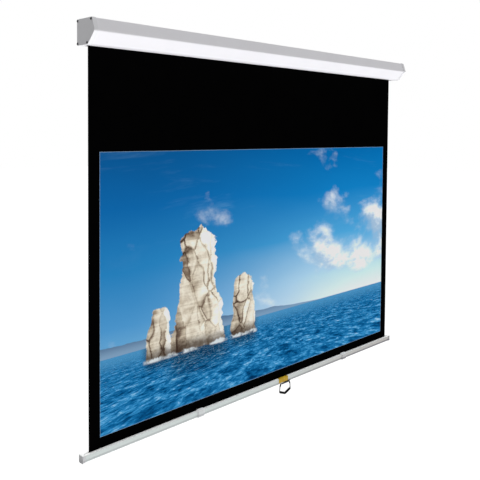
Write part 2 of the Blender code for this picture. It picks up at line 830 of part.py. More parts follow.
def bracket():
    """A channel over the bar's lower edges, with a boss under it that holds the ring's straight top."""
    inner = bar_width / 2 + clearance
    outer = inner + bracket_lip_wall
    floor = bar_bottom - clearance
    half = [
        (outer, bracket_top), (outer, bracket_base_bottom),
        (bracket_boss, bracket_seat_bottom), (bracket_boss, bracket_bottom),
    ]
    corners = [(cloth_y - y, z) for y, z in half] + [(cloth_y + y, z) for y, z in reversed(half)]
    corners += [
        (cloth_y + inner, bracket_top), (cloth_y + inner, floor),
        (cloth_y - inner, floor), (cloth_y - inner, bracket_top),
    ]
    seat = bar_bottom_corner + clearance
    side_radii = [bracket_edge, seat + bracket_base, bracket_fillet, bracket_corner]
    radii = side_radii + side_radii[::-1] + [0.0, seat, seat, 0.0]
    loops = [rounded(corners, radii), circle(cloth_y, ring_z, ring_bore)]
    block = swept("handle_bracket", loops, ring_offset - bracket_length / 2, ring_offset + bracket_length / 2)
    for number, (x, y) in enumerate(bracket_screw_places, 1):
        hole = rod_cutter(
            f"bracket_screw_hole_{number}", bracket_screw_hole, 4 * bracket_base,
            (x, y, bracket_base_bottom), (0.0, 0.0, 0.0),
        )
        combine(block, hole, "DIFFERENCE")
        pan_screw(
            f"bracket_screw_{number}", (x, y, bracket_seat_bottom - clearance), bracket_screw_head,
            bracket_screw_head_height, bracket_screw_shank,
            bracket_draft + bracket_base + 2 * clearance + bracket_screw_bite, dark_screw, bar_guide,
            tip=(math.pi, 0.0, 0.0),
        )
    keep(block, black_plastic, bar_guide)


def pull_ring():
    """A closed loop: a straight top in the bracket, slanted shoulders, thin sides and a pointed grip."""
    ring_axis = joint_axis("ring_axis", (ring_offset, cloth_y, ring_z))
    ring_axis.parent = bar_guide
    ring_axis.matrix_parent_inverse = Matrix.Translation(bar_guide.location).inverted()
    half = [
        (ring_top_width / 2, 0.0), (ring_shoulder_width / 2, -ring_shoulder), (ring_width / 2, -ring_side)
    ]
    corners = [(-x, z) for x, z in half] + [(0.0, -ring_side - ring_point)] + half[::-1]
    radii = [ring_corner] * 3 + [ring_point_corner] + [ring_corner] * 3
    wire = bpy.data.curves.new("pull_ring", "CURVE")
    wire.dimensions = "3D"
    wire.bevel_depth = ring_radius
    wire.bevel_resolution = 2
    outline = rounded(corners, radii)
    upper = [ring_wire, ring_wire, ring_side_wire, ring_grip]
    straights = upper + upper[::-1]
    thicknesses = [
        before + (after - before) * k / corner_steps
        for before, after in zip(straights, straights[1:]) for k in range(corner_steps + 1)
    ]
    spline = wire.splines.new("POLY")
    spline.points.add(len(outline) - 1)
    for point, (x, z), thickness in zip(spline.points, outline, thicknesses):
        point.co = (x, 0.0, z, 1.0)
        point.radius = thickness / ring_wire
    spline.use_cyclic_u = True
    made = bpy.data.objects.new("pull_ring", wire)
    made.location = (ring_offset, cloth_y, ring_z)
    pieces.objects.link(made)
    return keep(made, black_wire, ring_axis)


def sticker():
    """A film from the slot over the bar's top and down its front, to just short of the bracket's lip."""
    outlines = []
    for distance in (clearance, clearance + sticker_thickness):
        corners, radii = grown_bar(distance)
        arc = rounded(corners, radii)[:corner_steps + 1]
        start = (cloth_y - bar_slot / 2 - sticker_margin, corners[0][1])
        outlines.append([start] + arc + [(corners[0][0], sticker_bottom)])
    inner, outer = outlines
    low, high = sticker_offset - sticker_length / 2, sticker_offset + sticker_length / 2
    film = swept("bar_sticker", [outer + inner[::-1]], low, high)
    keep(film, ochre_sticker, bar_guide)


casing()
for end in (-1, 1):
    end_cap(end)
    bearing_plate(end)
    cap_screws(end)
idler_end()
roller()
spring_end()
lock()
hanging_cloth()
bottom_bar()
bracket()
pull_ring()
sticker()
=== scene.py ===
import json
import math

import bmesh
import bpy
import numpy as np
from mathutils import Matrix, Vector

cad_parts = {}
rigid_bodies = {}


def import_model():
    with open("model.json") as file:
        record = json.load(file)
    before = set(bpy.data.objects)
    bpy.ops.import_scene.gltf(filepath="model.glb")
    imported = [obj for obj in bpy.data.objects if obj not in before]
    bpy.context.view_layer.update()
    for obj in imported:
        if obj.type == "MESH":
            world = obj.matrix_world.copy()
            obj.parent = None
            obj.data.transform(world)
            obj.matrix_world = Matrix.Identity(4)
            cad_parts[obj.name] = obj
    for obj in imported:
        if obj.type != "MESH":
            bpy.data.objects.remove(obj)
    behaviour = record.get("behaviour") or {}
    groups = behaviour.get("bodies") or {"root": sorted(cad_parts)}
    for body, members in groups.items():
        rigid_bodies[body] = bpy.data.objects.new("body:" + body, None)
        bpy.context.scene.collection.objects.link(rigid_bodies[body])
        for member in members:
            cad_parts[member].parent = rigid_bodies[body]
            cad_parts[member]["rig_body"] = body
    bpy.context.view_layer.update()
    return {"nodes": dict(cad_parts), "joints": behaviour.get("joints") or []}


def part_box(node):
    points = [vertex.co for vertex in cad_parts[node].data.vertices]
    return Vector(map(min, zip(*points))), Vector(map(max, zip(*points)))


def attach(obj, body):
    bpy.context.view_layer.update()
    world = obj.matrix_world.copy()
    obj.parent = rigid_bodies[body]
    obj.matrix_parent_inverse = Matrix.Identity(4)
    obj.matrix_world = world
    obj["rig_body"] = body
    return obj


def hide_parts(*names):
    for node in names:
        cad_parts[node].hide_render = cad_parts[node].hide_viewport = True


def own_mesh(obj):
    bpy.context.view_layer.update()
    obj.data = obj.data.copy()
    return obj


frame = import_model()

# Values that several pieces share, in metres
clearance = 0.0003
clothThickness = 0.0004
overshoot = 0.010  # how far a cutter reaches past what it cuts
sharpCorner = 0.0002
sideNames = {-1: "left", 1: "right"}


def nodeBox(name):
    low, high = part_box(name)
    return np.array(low), np.array(high)


# Arrays or numbers, broadcast to one shape and stacked into points
def stacked(*parts):
    return np.stack(np.broadcast_arrays(*parts), -1)


def circle(angles):
    return stacked(np.cos(angles), np.sin(angles))


clothLow, clothHigh = nodeBox("screen_fabric")
hemLow, hemHigh = nodeBox("fabric_hem")
shellLow, shellHigh = nodeBox("casing_shell")
barLow, barHigh = nodeBox("bottom_bar")
clothY = (clothLow[1] + clothHigh[1]) / 2
clothSeam = (clothLow[2] + hemHigh[2]) / 2
tubeLow, tubeHigh = nodeBox("roller_tube")
rollerAxis = (tubeLow[1:] + tubeHigh[1:]) / 2
tubeRadius = (tubeHigh[2] - tubeLow[2]) / 2
print("frame loaded")


# Surfaces

def rightOf(along):
    return stacked(along[:, 1], -along[:, 0])


def unit(vectors):
    return vectors / np.maximum(np.linalg.norm(vectors, axis=-1, keepdims=True), 1e-9)


# How far each point of a path lies along it
def distanceAlong(points):
    steps = np.linalg.norm(np.diff(points, axis=0), axis=1)
    return np.concatenate([[0], np.cumsum(steps)])


def cross(first, second):
    return first[:, 0] * second[:, 1] - first[:, 1] * second[:, 0]


# A flat path whose corners are turned by arcs: centre + radius (cos a, sin a), with a running evenly from one
# side's normal to the next. A holding point just beyond each end of an arc keeps the flats between them flat.
# It gives the points and the outward normals, which lie to the right of the path.
def roundedPath(corners, radii, closed=True, steps=8, hold=0.0002):
    corners = np.asarray(corners, float)
    radii = np.asarray(radii, float)[:, None]
    back = unit(np.roll(corners, 1, axis=0) - corners)
    ahead = unit(np.roll(corners, -1, axis=0) - corners)
    half = np.arccos(np.clip((back * ahead).sum(1), -1, 1))[:, None] / 2
    centres = corners + unit(back + ahead) * radii / np.sin(half)
    inset = radii / np.tan(half)
    normalIn, normalOut = rightOf(-back), rightOf(ahead)
    turn = np.arctan2(cross(normalIn, normalOut), (normalIn * normalOut).sum(1))
    start = np.arctan2(normalIn[:, 1], normalIn[:, 0])
    normals = circle(start[:, None] + turn[:, None] * np.linspace(0, 1, steps + 1))
    arcs = centres[:, None, :] + normals * (radii * np.sign(turn)[:, None])[:, :, None]
    points = np.concatenate(
        [(corners + back * (inset + hold))[:, None], arcs, (corners + ahead * (inset + hold))[:, None]], 1
    )
    normals = np.concatenate([normalIn[:, None], normals, normalOut[:, None]], 1)
    if closed:
        return points.reshape(-1, 2), normals.reshape(-1, 2)
    points = np.concatenate([corners[:1], points[1:-1].reshape(-1, 2), corners[-1:]])
    normals = np.concatenate([normalOut[:1], normals[1:-1].reshape(-1, 2), normalIn[-1:]])
    return points, normals


# Quads that join neighbouring rows and columns of a grid of points
def gridFaces(rows, columns, closedRows=False, closedColumns=False):
    i = np.arange(rows if closedRows else rows - 1)[:, None]
    j = np.arange(columns if closedColumns else columns - 1)[None, :]
    nextI, nextJ = (i + 1) % rows, (j + 1) % columns
    corners = [i * columns + j, i * columns + nextJ, nextI * columns + nextJ, nextI * columns + j]
    return stacked(*corners).reshape(-1, 4).tolist()


# Makes an object from a grid of points, with a face over each open end where asked. A solid is welded and
# has its normals turned outwards; every piece is shaded smooth up to the given angle.
def gridPiece(name, grid, closedRows=False, closedColumns=False, ends=False, solid=True, angle=32):
    rows, columns = grid.shape[:2]
    faces = gridFaces(rows, columns, closedRows, closedColumns)
    if ends:
        faces += [list(range(columns))[::-1], list(range((rows - 1) * columns, rows * columns))]
    mesh = bpy.data.meshes.new(name)
    mesh.from_pydata(grid.reshape(-1, 3).tolist(), [], faces)
    if solid:
        weld(mesh)
    shade(mesh, angle)
    return addObject(name, mesh)


def addObject(name, data):
    made = bpy.data.objects.new(name, data)
    bpy.context.scene.collection.objects.link(made)
    return made


# Merges points that lie within the distance of each other, and turns the faces outwards
def weld(mesh, turnOutwards=True, distance=0.000002):
    welded = bmesh.new()
    welded.from_mesh(mesh)
    if distance:
        bmesh.ops.remove_doubles(welded, verts=welded.verts, dist=distance)
        bmesh.ops.dissolve_degenerate(welded, edges=welded.edges, dist=distance)
    if turnOutwards:
        bmesh.ops.recalc_face_normals(welded, faces=welded.faces)
    welded.to_mesh(mesh)
    welded.free()


def shade(mesh, angle=32):
    mesh.shade_smooth()
    mesh.set_sharp_from_angle(angle=math.radians(angle))


# Carries an outline in the YZ plane along X. stations are (x, growth) rows: at each the outline is moved
# out along its normals by the growth, so that rounded ends come from a quarter circle of stations.
def carried(name, path, stations, closed=True, ends=True, **how):
    (y, z), (normalY, normalZ) = path[0].T, path[1].T
    x, growth = np.asarray(stations, float).T[:, :, None]
    grid = stacked(x, y + normalY * growth, z + normalZ * growth)
    return gridPiece(name, grid, closedColumns=closed, ends=ends, **how)


# Stations for a carried outline from low to high, each end rounded by a quarter circle of its radius
def roundedStations(low, high, lowRadius, highRadius, steps=4, hold=0.0002):
    out, along = circle(np.linspace(0, math.pi / 2, steps + 1)).T - 1
    first = stacked(low - lowRadius * along, lowRadius * out)[::-1]
    last = stacked(high + highRadius * along, highRadius * out)
    between = [(low + lowRadius + hold, 0.0), (high - highRadius - hold, 0.0)]
    return np.concatenate([[(low, -lowRadius - hold)], first, between, last, [(high, -highRadius - hold)]])


# A closed outline with each side moved out by its own distance
def movedOutline(corners, distances):
    corners = np.asarray(corners, float)
    along = unit(np.roll(corners, -1, axis=0) - corners)
    starts = corners + rightOf(along) * np.asarray(distances, float)[:, None]
    lastStart, lastAlong = np.roll(starts, 1, axis=0), np.roll(along, 1, axis=0)
    share = cross(starts - lastStart, along) / cross(lastAlong, along)
    return lastStart + lastAlong * share[:, None]


# A tube round a path: point + radius (side cos a + up sin a), with a all the way round
def tubeGrid(points, sides, ups, radii, around):
    x, y = circle(np.linspace(0, 2 * math.pi, around, endpoint=False)).T[:, None, :, None]
    ring = sides[:, None] * x + ups[:, None] * y
    return points[:, None] + ring * np.broadcast_to(radii, len(points))[:, None, None]


# Applies a piece's modifiers
def settle(piece):
    evaluated = piece.evaluated_get(bpy.context.evaluated_depsgraph_get())
    mesh = bpy.data.meshes.new_from_object(evaluated)
    piece.modifiers.clear()
    piece.data = mesh


# Joins another piece to a piece or cuts it out, and leaves the other out of the scene
def combine(piece, other, operation="DIFFERENCE", angle=32):
    change = piece.modifiers.new(operation, "BOOLEAN")
    change.operation = operation
    change.solver = "EXACT"
    change.object = other
    settle(piece)
    weld(piece.data, turnOutwards=False)
    bpy.data.objects.remove(other, do_unlink=True)
    shade(piece.data, angle)


# Gives a surface a wall on its inner side
def thicken(piece, thickness):
    wall = piece.modifiers.new("wall", "SOLIDIFY")
    wall.thickness = thickness
    wall.offset = -1.0
    wall.use_even_offset = True
    settle(piece)


# A round cutter from one point to another
def rod(name, start, end, radius, around=32):
    start, end = np.asarray(start, float), np.asarray(end, float)
    along = unit(end - start)
    side = unit(np.cross(along, [0.0, 0.0, 1.0] if abs(along[2]) < 0.9 else [1.0, 0.0, 0.0]))
    grid = tubeGrid(np.array([start, end]), side[None], np.cross(along, side)[None], radius, around)
    return gridPiece(name, grid, closedColumns=True, ends=True)


def drill(piece, start, end, radius, around=20):
    combine(piece, rod("drill", start, end, radius, around))


# Puts a finished piece in its place in the object
def place(piece, body, slot, material, *replaced):
    piece.data.materials.clear()
    piece.data.materials.append(material)
    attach(piece, body)
    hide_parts(*replaced)


# Shader helpers

# A colour given as the red, green and blue that a picture shows
def shown(red, green, blue):
    value = np.array([red, green, blue]) / 255
    linear = np.where(value <= 0.04045, value / 12.92, ((value + 0.055) / 1.055) ** 2.4)
    return (*linear.tolist(), 1.0)


def darkened(colour, change):
    return (*[part * (1 - change) for part in colour[:3]], 1.0)


# What a node gives. Arithmetic with it adds Math nodes to its tree.
class Field:
    def __init__(self, socket):
        self.socket = socket

    def __add__(self, other):
        return maths("ADD", self, other)

    def __sub__(self, other):
        return maths("SUBTRACT", self, other)

    def __rsub__(self, other):
        return maths("SUBTRACT", other, self)

    def __mul__(self, other):
        return maths("MULTIPLY", self, other)

    def __truediv__(self, other):
        return maths("DIVIDE", self, other)

    def __rtruediv__(self, other):
        return maths("DIVIDE", other, self)

    def __pow__(self, other):
        return maths("POWER", self, other)

    def __abs__(self):
        return maths("ABSOLUTE", self)

    __radd__, __rmul__ = __add__, __mul__


def treeOf(*values):
    return next(value.socket.id_data for value in values if isinstance(value, Field))


# Links a node's inputs to fields, and sets the others to plain values
def fill(node, inputs):
    for key, value in inputs.items():
        if isinstance(value, Field):
            node.id_data.links.new(value.socket, node.inputs[key])
        else:
            node.inputs[key].default_value = value


def add(tree, kind, inputs=None, **settings):
    node = tree.nodes.new(kind)
    for key, value in settings.items():
        setattr(node, key, value)
    fill(node, inputs or {})
    return node


def output(node, key=0):
    return Field(node.outputs[key])


def maths(operation, *values):
    return output(add(treeOf(*values), "ShaderNodeMath", dict(enumerate(values)), operation=operation))


def larger(first, second):
    return maths("MAXIMUM", first, second)


def smaller(first, second):
    return maths("MINIMUM", first, second)


# 0 below low, 1 above high and a smooth step between them
def step(value, low, high):
    inputs = {"Value": value, "From Min": low, "From Max": high}
    return output(add(treeOf(value), "ShaderNodeMapRange", inputs, interpolation_type="SMOOTHSTEP"))


def mixed(factor, first, second, blend="MIX"):
    inputs = {0: factor, 6: first, 7: second}
    return output(add(treeOf(factor, first, second), "ShaderNodeMix", inputs, data_type="RGBA",
                      blend_type=blend, clamp_result=blend != "MIX"), 2)


def noise(place, scale, detail=3.0, roughness=0.5, distortion=0.0):
    inputs = {"Vector": place, "Scale": scale, "Detail": detail, "Roughness": roughness,
              "Distortion": distortion}
    return output(add(treeOf(place), "ShaderNodeTexNoise", inputs))


# Moves up and down about a middle by half the change as the value goes from 0 to 1
def varied(value, middle, change):
    return value * change + (middle - change / 2)


def vector(x, y, z=0.0):
    return output(add(treeOf(x, y, z), "ShaderNodeCombineXYZ", {"X": x, "Y": y, "Z": z}))


def separated(place):
    node = add(treeOf(place), "ShaderNodeSeparateXYZ", {0: place})
    return [output(node, key) for key in range(3)]


def colourRamp(value, stops):
    node = add(treeOf(value), "ShaderNodeValToRGB", {"Fac": value})
    elements = node.color_ramp.elements
    for stop, (position, colour) in zip(elements, (stops[0], stops[-1])):
        stop.position, stop.color = position, colour
    for position, colour in stops[1:-1]:
        elements.new(position).color = colour
    return output(node)


# A node group with named inputs, given with their values, and outputs: its tree, its inputs and its end
def newGroup(name, inputs, outputs):
    tree = bpy.data.node_groups.new(name, "ShaderNodeTree")
    kinds = {float: "NodeSocketFloat", tuple: "NodeSocketColor", list: "NodeSocketVector"}
    for key, value in inputs.items():
        socket = tree.interface.new_socket(key, in_out="INPUT", socket_type=kinds[type(value)])
        socket.default_value = value
    for key, value in outputs.items():
        tree.interface.new_socket(key, in_out="OUTPUT", socket_type=kinds[type(value)])
    given = tree.nodes.new("NodeGroupInput")
    return tree, {key: output(given, key) for key in inputs}, tree.nodes.new("NodeGroupOutput")


def useGroup(tree, group, inputs):
    node = add(tree, "ShaderNodeGroup", inputs, node_tree=group)
    return {socket.name: Field(socket) for socket in node.outputs}


# A material with its Principled shader. Plain values sit on the shader's own sockets.
def newMaterial(name, **values):
    material = bpy.data.materials.new(name)
    material.use_nodes = True
    shader = material.node_tree.nodes["Principled BSDF"]
    fill(shader, {key.replace("_", " "): value for key, value in values.items()})
    return material, material.node_tree, shader


def objectPlace(tree):
    return output(add(tree, "ShaderNodeTexCoord"), "Object")


# Puts colour, roughness and relief on a material's shader
def dress(shader, colour, roughness, height, depth, strength=1.0):
    bump = add(shader.id_data, "ShaderNodeBump", {"Height": height, "Distance": depth, "Strength": strength})
    fill(shader, {"Base Color": colour, "Roughness": roughness, "Normal": output(bump)})


# Shared effects

plainGrey = (0.8, 0.8, 0.8, 1.0)
origin = [0.0, 0.0, 0.0]
reliefAndTone = {"Height": 0.0, "Tone": 0.0}


# Small pits and lumps of a moulded or sprayed surface, with a slow change of tone over it
def fineGrainGroup():
    inputs = {"Place": origin, "Scale": 900.0, "Patches": 6.0}
    tree, given, result = newGroup("Fine grain", inputs, reliefAndTone)
    fill(result, {"Height": noise(given["Place"], given["Scale"], 2.0, 0.6),
                  "Tone": noise(given["Place"], given["Patches"], 3.0, 0.55)})
    return tree


# Lines left along X by an extrusion die or a brush
def drawnLinesGroup():
    inputs = {"Place": origin, "Length": 3.0, "Fineness": 1400.0}
    tree, given, result = newGroup("Drawn lines", inputs, reliefAndTone)
    x, y, z = separated(given["Place"])
    lines = vector(x * given["Length"], y * given["Fineness"], z * given["Fineness"])
    fine, broad = noise(lines, 1.0, 2.0, 0.6), noise(lines, 0.12, 2.0, 0.5)
    fill(result, {"Height": fine, "Tone": fine * 0.5 + broad * 0.5})
    return tree


# Dust that has settled on what faces up, in patches
dust = {"facing": (0.35, 0.95), "patches": (0.35, 0.75), "patchScale": 14.0, "colour": shown(196, 190, 180)}


def dustGroup():
    inputs = {"Colour": plainGrey, "Amount": 0.15, "Place": origin}
    tree, given, result = newGroup("Settled dust", inputs, {"Colour": plainGrey})
    upward = separated(output(add(tree, "ShaderNodeTexCoord"), "Normal"))[2]
    patches = noise(given["Place"], dust["patchScale"], 5.0, 0.65)
    mask = step(upward, *dust["facing"]) * step(patches, *dust["patches"]) * given["Amount"]
    fill(result, {"Colour": mixed(mask, given["Colour"], dust["colour"])})
    return tree


# The bar's pieces grow darker towards the right end. They have painted shade along their lower edge, which
# grows stronger towards the right end, and a painted highlight on their top faces.
paintedBarShade = {
    # where along the bar the tone darkens towards the right end
    "across": (-0.35, 1.05),
    "low": (0.0125, 0.0055),  # heights over the bar's foot where the painted shade starts and is full
    "paintedShadeShare": (0.38, 0.60),  # its strength, and what the right end adds to it
    "top": (0.0030, 0.0008),  # depths under the bar's top where the painted highlight starts and is full
    "paintedHighlight": shown(247, 248, 247),
}


def paintedBarShadeGroup():
    inputs = {"Place": origin, "Colour": plainGrey, "Aged": plainGrey, "Lower": plainGrey}
    tree, given, result = newGroup("Painted bar shade", inputs, {"Colour": plainGrey})
    x, _, z = separated(given["Place"])
    # The tone darkens towards the right end, low paints shade along the lower edge, and top paints a
    # highlight on the top face
    rightward = step(x, *paintedBarShade["across"])
    low = step(z, *[barLow[2] + height for height in paintedBarShade["low"]])
    top = step(z, *[barHigh[2] - depth for depth in paintedBarShade["top"]])
    strength, added = paintedBarShade["paintedShadeShare"]
    tone = mixed(rightward, given["Colour"], given["Aged"])
    tone = mixed(low * (rightward * added + strength), tone, given["Lower"])
    fill(result, {"Colour": mixed(top, tone, paintedBarShade["paintedHighlight"])})
    return tree


fineGrain = fineGrainGroup()
drawnLines = drawnLinesGroup()
settledDust = dustGroup()
paintedBarShading = paintedBarShadeGroup()


# Finishes

# A plain finish with grain: colour and roughness change a little in patches, and the grain stands in relief.
# On the bar's pieces it can add painted shade along the lower edge and a painted highlight on top.
def grainedMaterial(name, colour, roughness, grainSize, depth, change=0.06, dusty=0.0, aged=None, **values):
    material, tree, shader = newMaterial(name, **values)
    spot = objectPlace(tree)
    grain = useGroup(tree, fineGrain, {"Place": spot, "Scale": 1 / grainSize})
    tone = mixed(step(grain["Tone"], 0.35, 0.65), darkened(colour, change), colour)
    if dusty:
        tone = useGroup(tree, settledDust, {"Colour": tone, "Amount": dusty, "Place": spot})["Colour"]
    # painted shade along the lower edge and a painted highlight on top, darker towards the right end
    if aged:
        inputs = {"Place": spot, "Colour": tone, "Aged": aged[0], "Lower": aged[1]}
        tone = useGroup(tree, paintedBarShading, inputs)["Colour"]
    dress(shader, tone, varied(grain["Tone"], roughness, 0.16), grain["Height"], depth)
    return material


# Metal with drawn lines
def metalMaterial(name, colour, roughness, fineness, depth, change=0.1, **values):
    material, tree, shader = newMaterial(name, **values)
    lines = useGroup(tree, drawnLines, {"Place": objectPlace(tree), "Fineness": fineness})
    tone = mixed(lines["Tone"], darkened(colour, change), colour)
    dress(shader, tone, varied(lines["Tone"], roughness, 0.2), lines["Height"], depth)
    return material


# Zinc plating: crystals of slightly different greys
def zincMaterial():
    material, tree, shader = newMaterial("zincPlating", Metallic=1.0)
    spot = objectPlace(tree)
    crystals = add(tree, "ShaderNodeTexVoronoi", {"Vector": spot, "Scale": 260.0})
    grey = output(add(tree, "ShaderNodeSeparateColor", {0: output(crystals, "Color")}))
    tone = mixed(grey, shown(168, 170, 174), shown(204, 205, 206))
    dress(shader, tone, varied(grey, 0.37, 0.14), noise(spot, 1200.0, 2.0), 0.00001)
    return material


# The bar's extrusion: pale anodised metal with drawn lines, with painted shade along its lower edge and a
# painted highlight on its top
def barMaterial():
    material, tree, shader = newMaterial("paleAluminium", Metallic=0.1)
    spot = objectPlace(tree)
    lines = useGroup(tree, drawnLines, {"Place": spot, "Fineness": 1500.0})
    pale = mixed(lines["Tone"], shown(204, 213, 211), shown(217, 225, 223))
    # darker towards the right end, with painted shade along the lower edge and a painted highlight on the top
    # face
    tone = useGroup(tree, paintedBarShading, {"Place": spot, "Colour": pale, "Aged": shown(192, 189, 186),
                                    "Lower": shown(104, 103, 110)})["Colour"]
    dress(shader, tone, varied(lines["Tone"], 0.51, 0.18), lines["Height"], 0.000012)
    return material


# The bare sticker: ochre film, a little darker and worn along its cut edges
def stickerMaterial(wornEdge=0.0035):
    material, tree, shader = newMaterial(
        "ochreFilm", Coat_Weight=0.08, Coat_Roughness=0.25, Specular_IOR_Level=0.25
    )
    spot = objectPlace(tree)
    grain = useGroup(tree, fineGrain, {"Place": spot, "Scale": 1100.0, "Patches": 60.0})
    film = mixed(step(grain["Tone"], 0.35, 0.7), shown(186, 148, 20), shown(203, 166, 36))
    edge = step(abs(separated(spot)[0] - stickerMiddle), stickerHalf - wornEdge, stickerHalf)
    film = mixed(edge * 0.35, film, shown(146, 112, 34))
    dress(shader, film, varied(grain["Tone"], 0.42, 0.2), grain["Height"], 0.00001)
    return material


stickerLow, stickerHigh = nodeBox("bar_sticker")
stickerMiddle, stickerHalf = (stickerLow[0] + stickerHigh[0]) / 2, (stickerHigh[0] - stickerLow[0]) / 2
# The casing's paint is satin white over sheet metal with a very slight orange peel
whitePaint = grainedMaterial("whitePaint", shown(232, 231, 235), 0.42, 0.0022, 0.000008, 0.02, 0.25,
                             Specular_IOR_Level=0.12)
capPlastic = grainedMaterial("capPlastic", shown(226, 226, 229), 0.48, 0.0007, 0.00002, 0.04, 0.25)
# The bar caps and bumpers grow darker towards the right end, with painted shade along their lower edge and a
# painted highlight on top
barCapPlastic = grainedMaterial("barCapPlastic", shown(216, 217, 219), 0.5, 0.0007, 0.00002, 0.05,
                                aged=(shown(176, 175, 175), shown(140, 138, 144)))
bumperPlastic = grainedMaterial("bumperPlastic", shown(226, 230, 231), 0.6, 0.0009, 0.00003, 0.06,
                                aged=(shown(186, 184, 184), shown(112, 110, 118)))
blackPlastic = grainedMaterial("blackPlastic", shown(8, 8, 9), 0.6, 0.0006, 0.00003, 0.2, 0.03,
                               Specular_IOR_Level=0.08)
wireCoating = grainedMaterial("wireCoating", shown(5, 5, 6), 0.6, 0.0012, 0.00001, 0.25,
                              Specular_IOR_Level=0.05)
blackenedSteel = metalMaterial("blackenedSteel", shown(36, 36, 39), 0.46, 900.0, 0.00001, 0.3, Metallic=0.7)
zincPlating = zincMaterial()
brightSteel = metalMaterial("brightSteel", shown(186, 187, 190), 0.3, 1100.0, 0.000008, 0.12, Metallic=1.0)
springWire = metalMaterial("springWire", shown(118, 116, 114), 0.34, 1300.0, 0.000008, 0.25, Metallic=1.0)
nylon = grainedMaterial("nylon", shown(228, 224, 212), 0.45, 0.0012, 0.00001, 0.05, Subsurface_Weight=0.1)
barAluminium = barMaterial()
ochreFilm = stickerMaterial()
print("finishes made")


# Cloth finishes

# The weave of a coated screen cloth: two sets of fine threads across each other, in metres of cloth
def clothWeaveGroup():
    tree, given, result = newGroup("Screen weave", {"Place": origin, "Thread": 0.0007}, reliefAndTone)
    across, up, _ = separated(given["Place"])
    turn = 2 * math.pi / given["Thread"]
    threads = maths("SINE", across * turn) * maths("SINE", up * turn)
    fill(result, {"Height": threads * 0.5 + 0.5, "Tone": noise(given["Place"], 9.0, 4.0, 0.6)})
    return tree


# The picture that is shown on the cloth: a made-up sea with chalk stacks, far hills and clouds.
# Its map runs from 0 to 1 across and up the picture.
picture = {
    "width": 1.800,
    "height": 1.0125,
    "horizon": 0.27,
    "edgeBand": 0.0018,
    "gain": 1.2,
    "stacks": [(0.46, 0.135, 0.69), (0.715, 0.070, 0.47), (0.26, 0.060, 0.41)],  # middle, half width, top
    "stackFoot": 0.215,
}


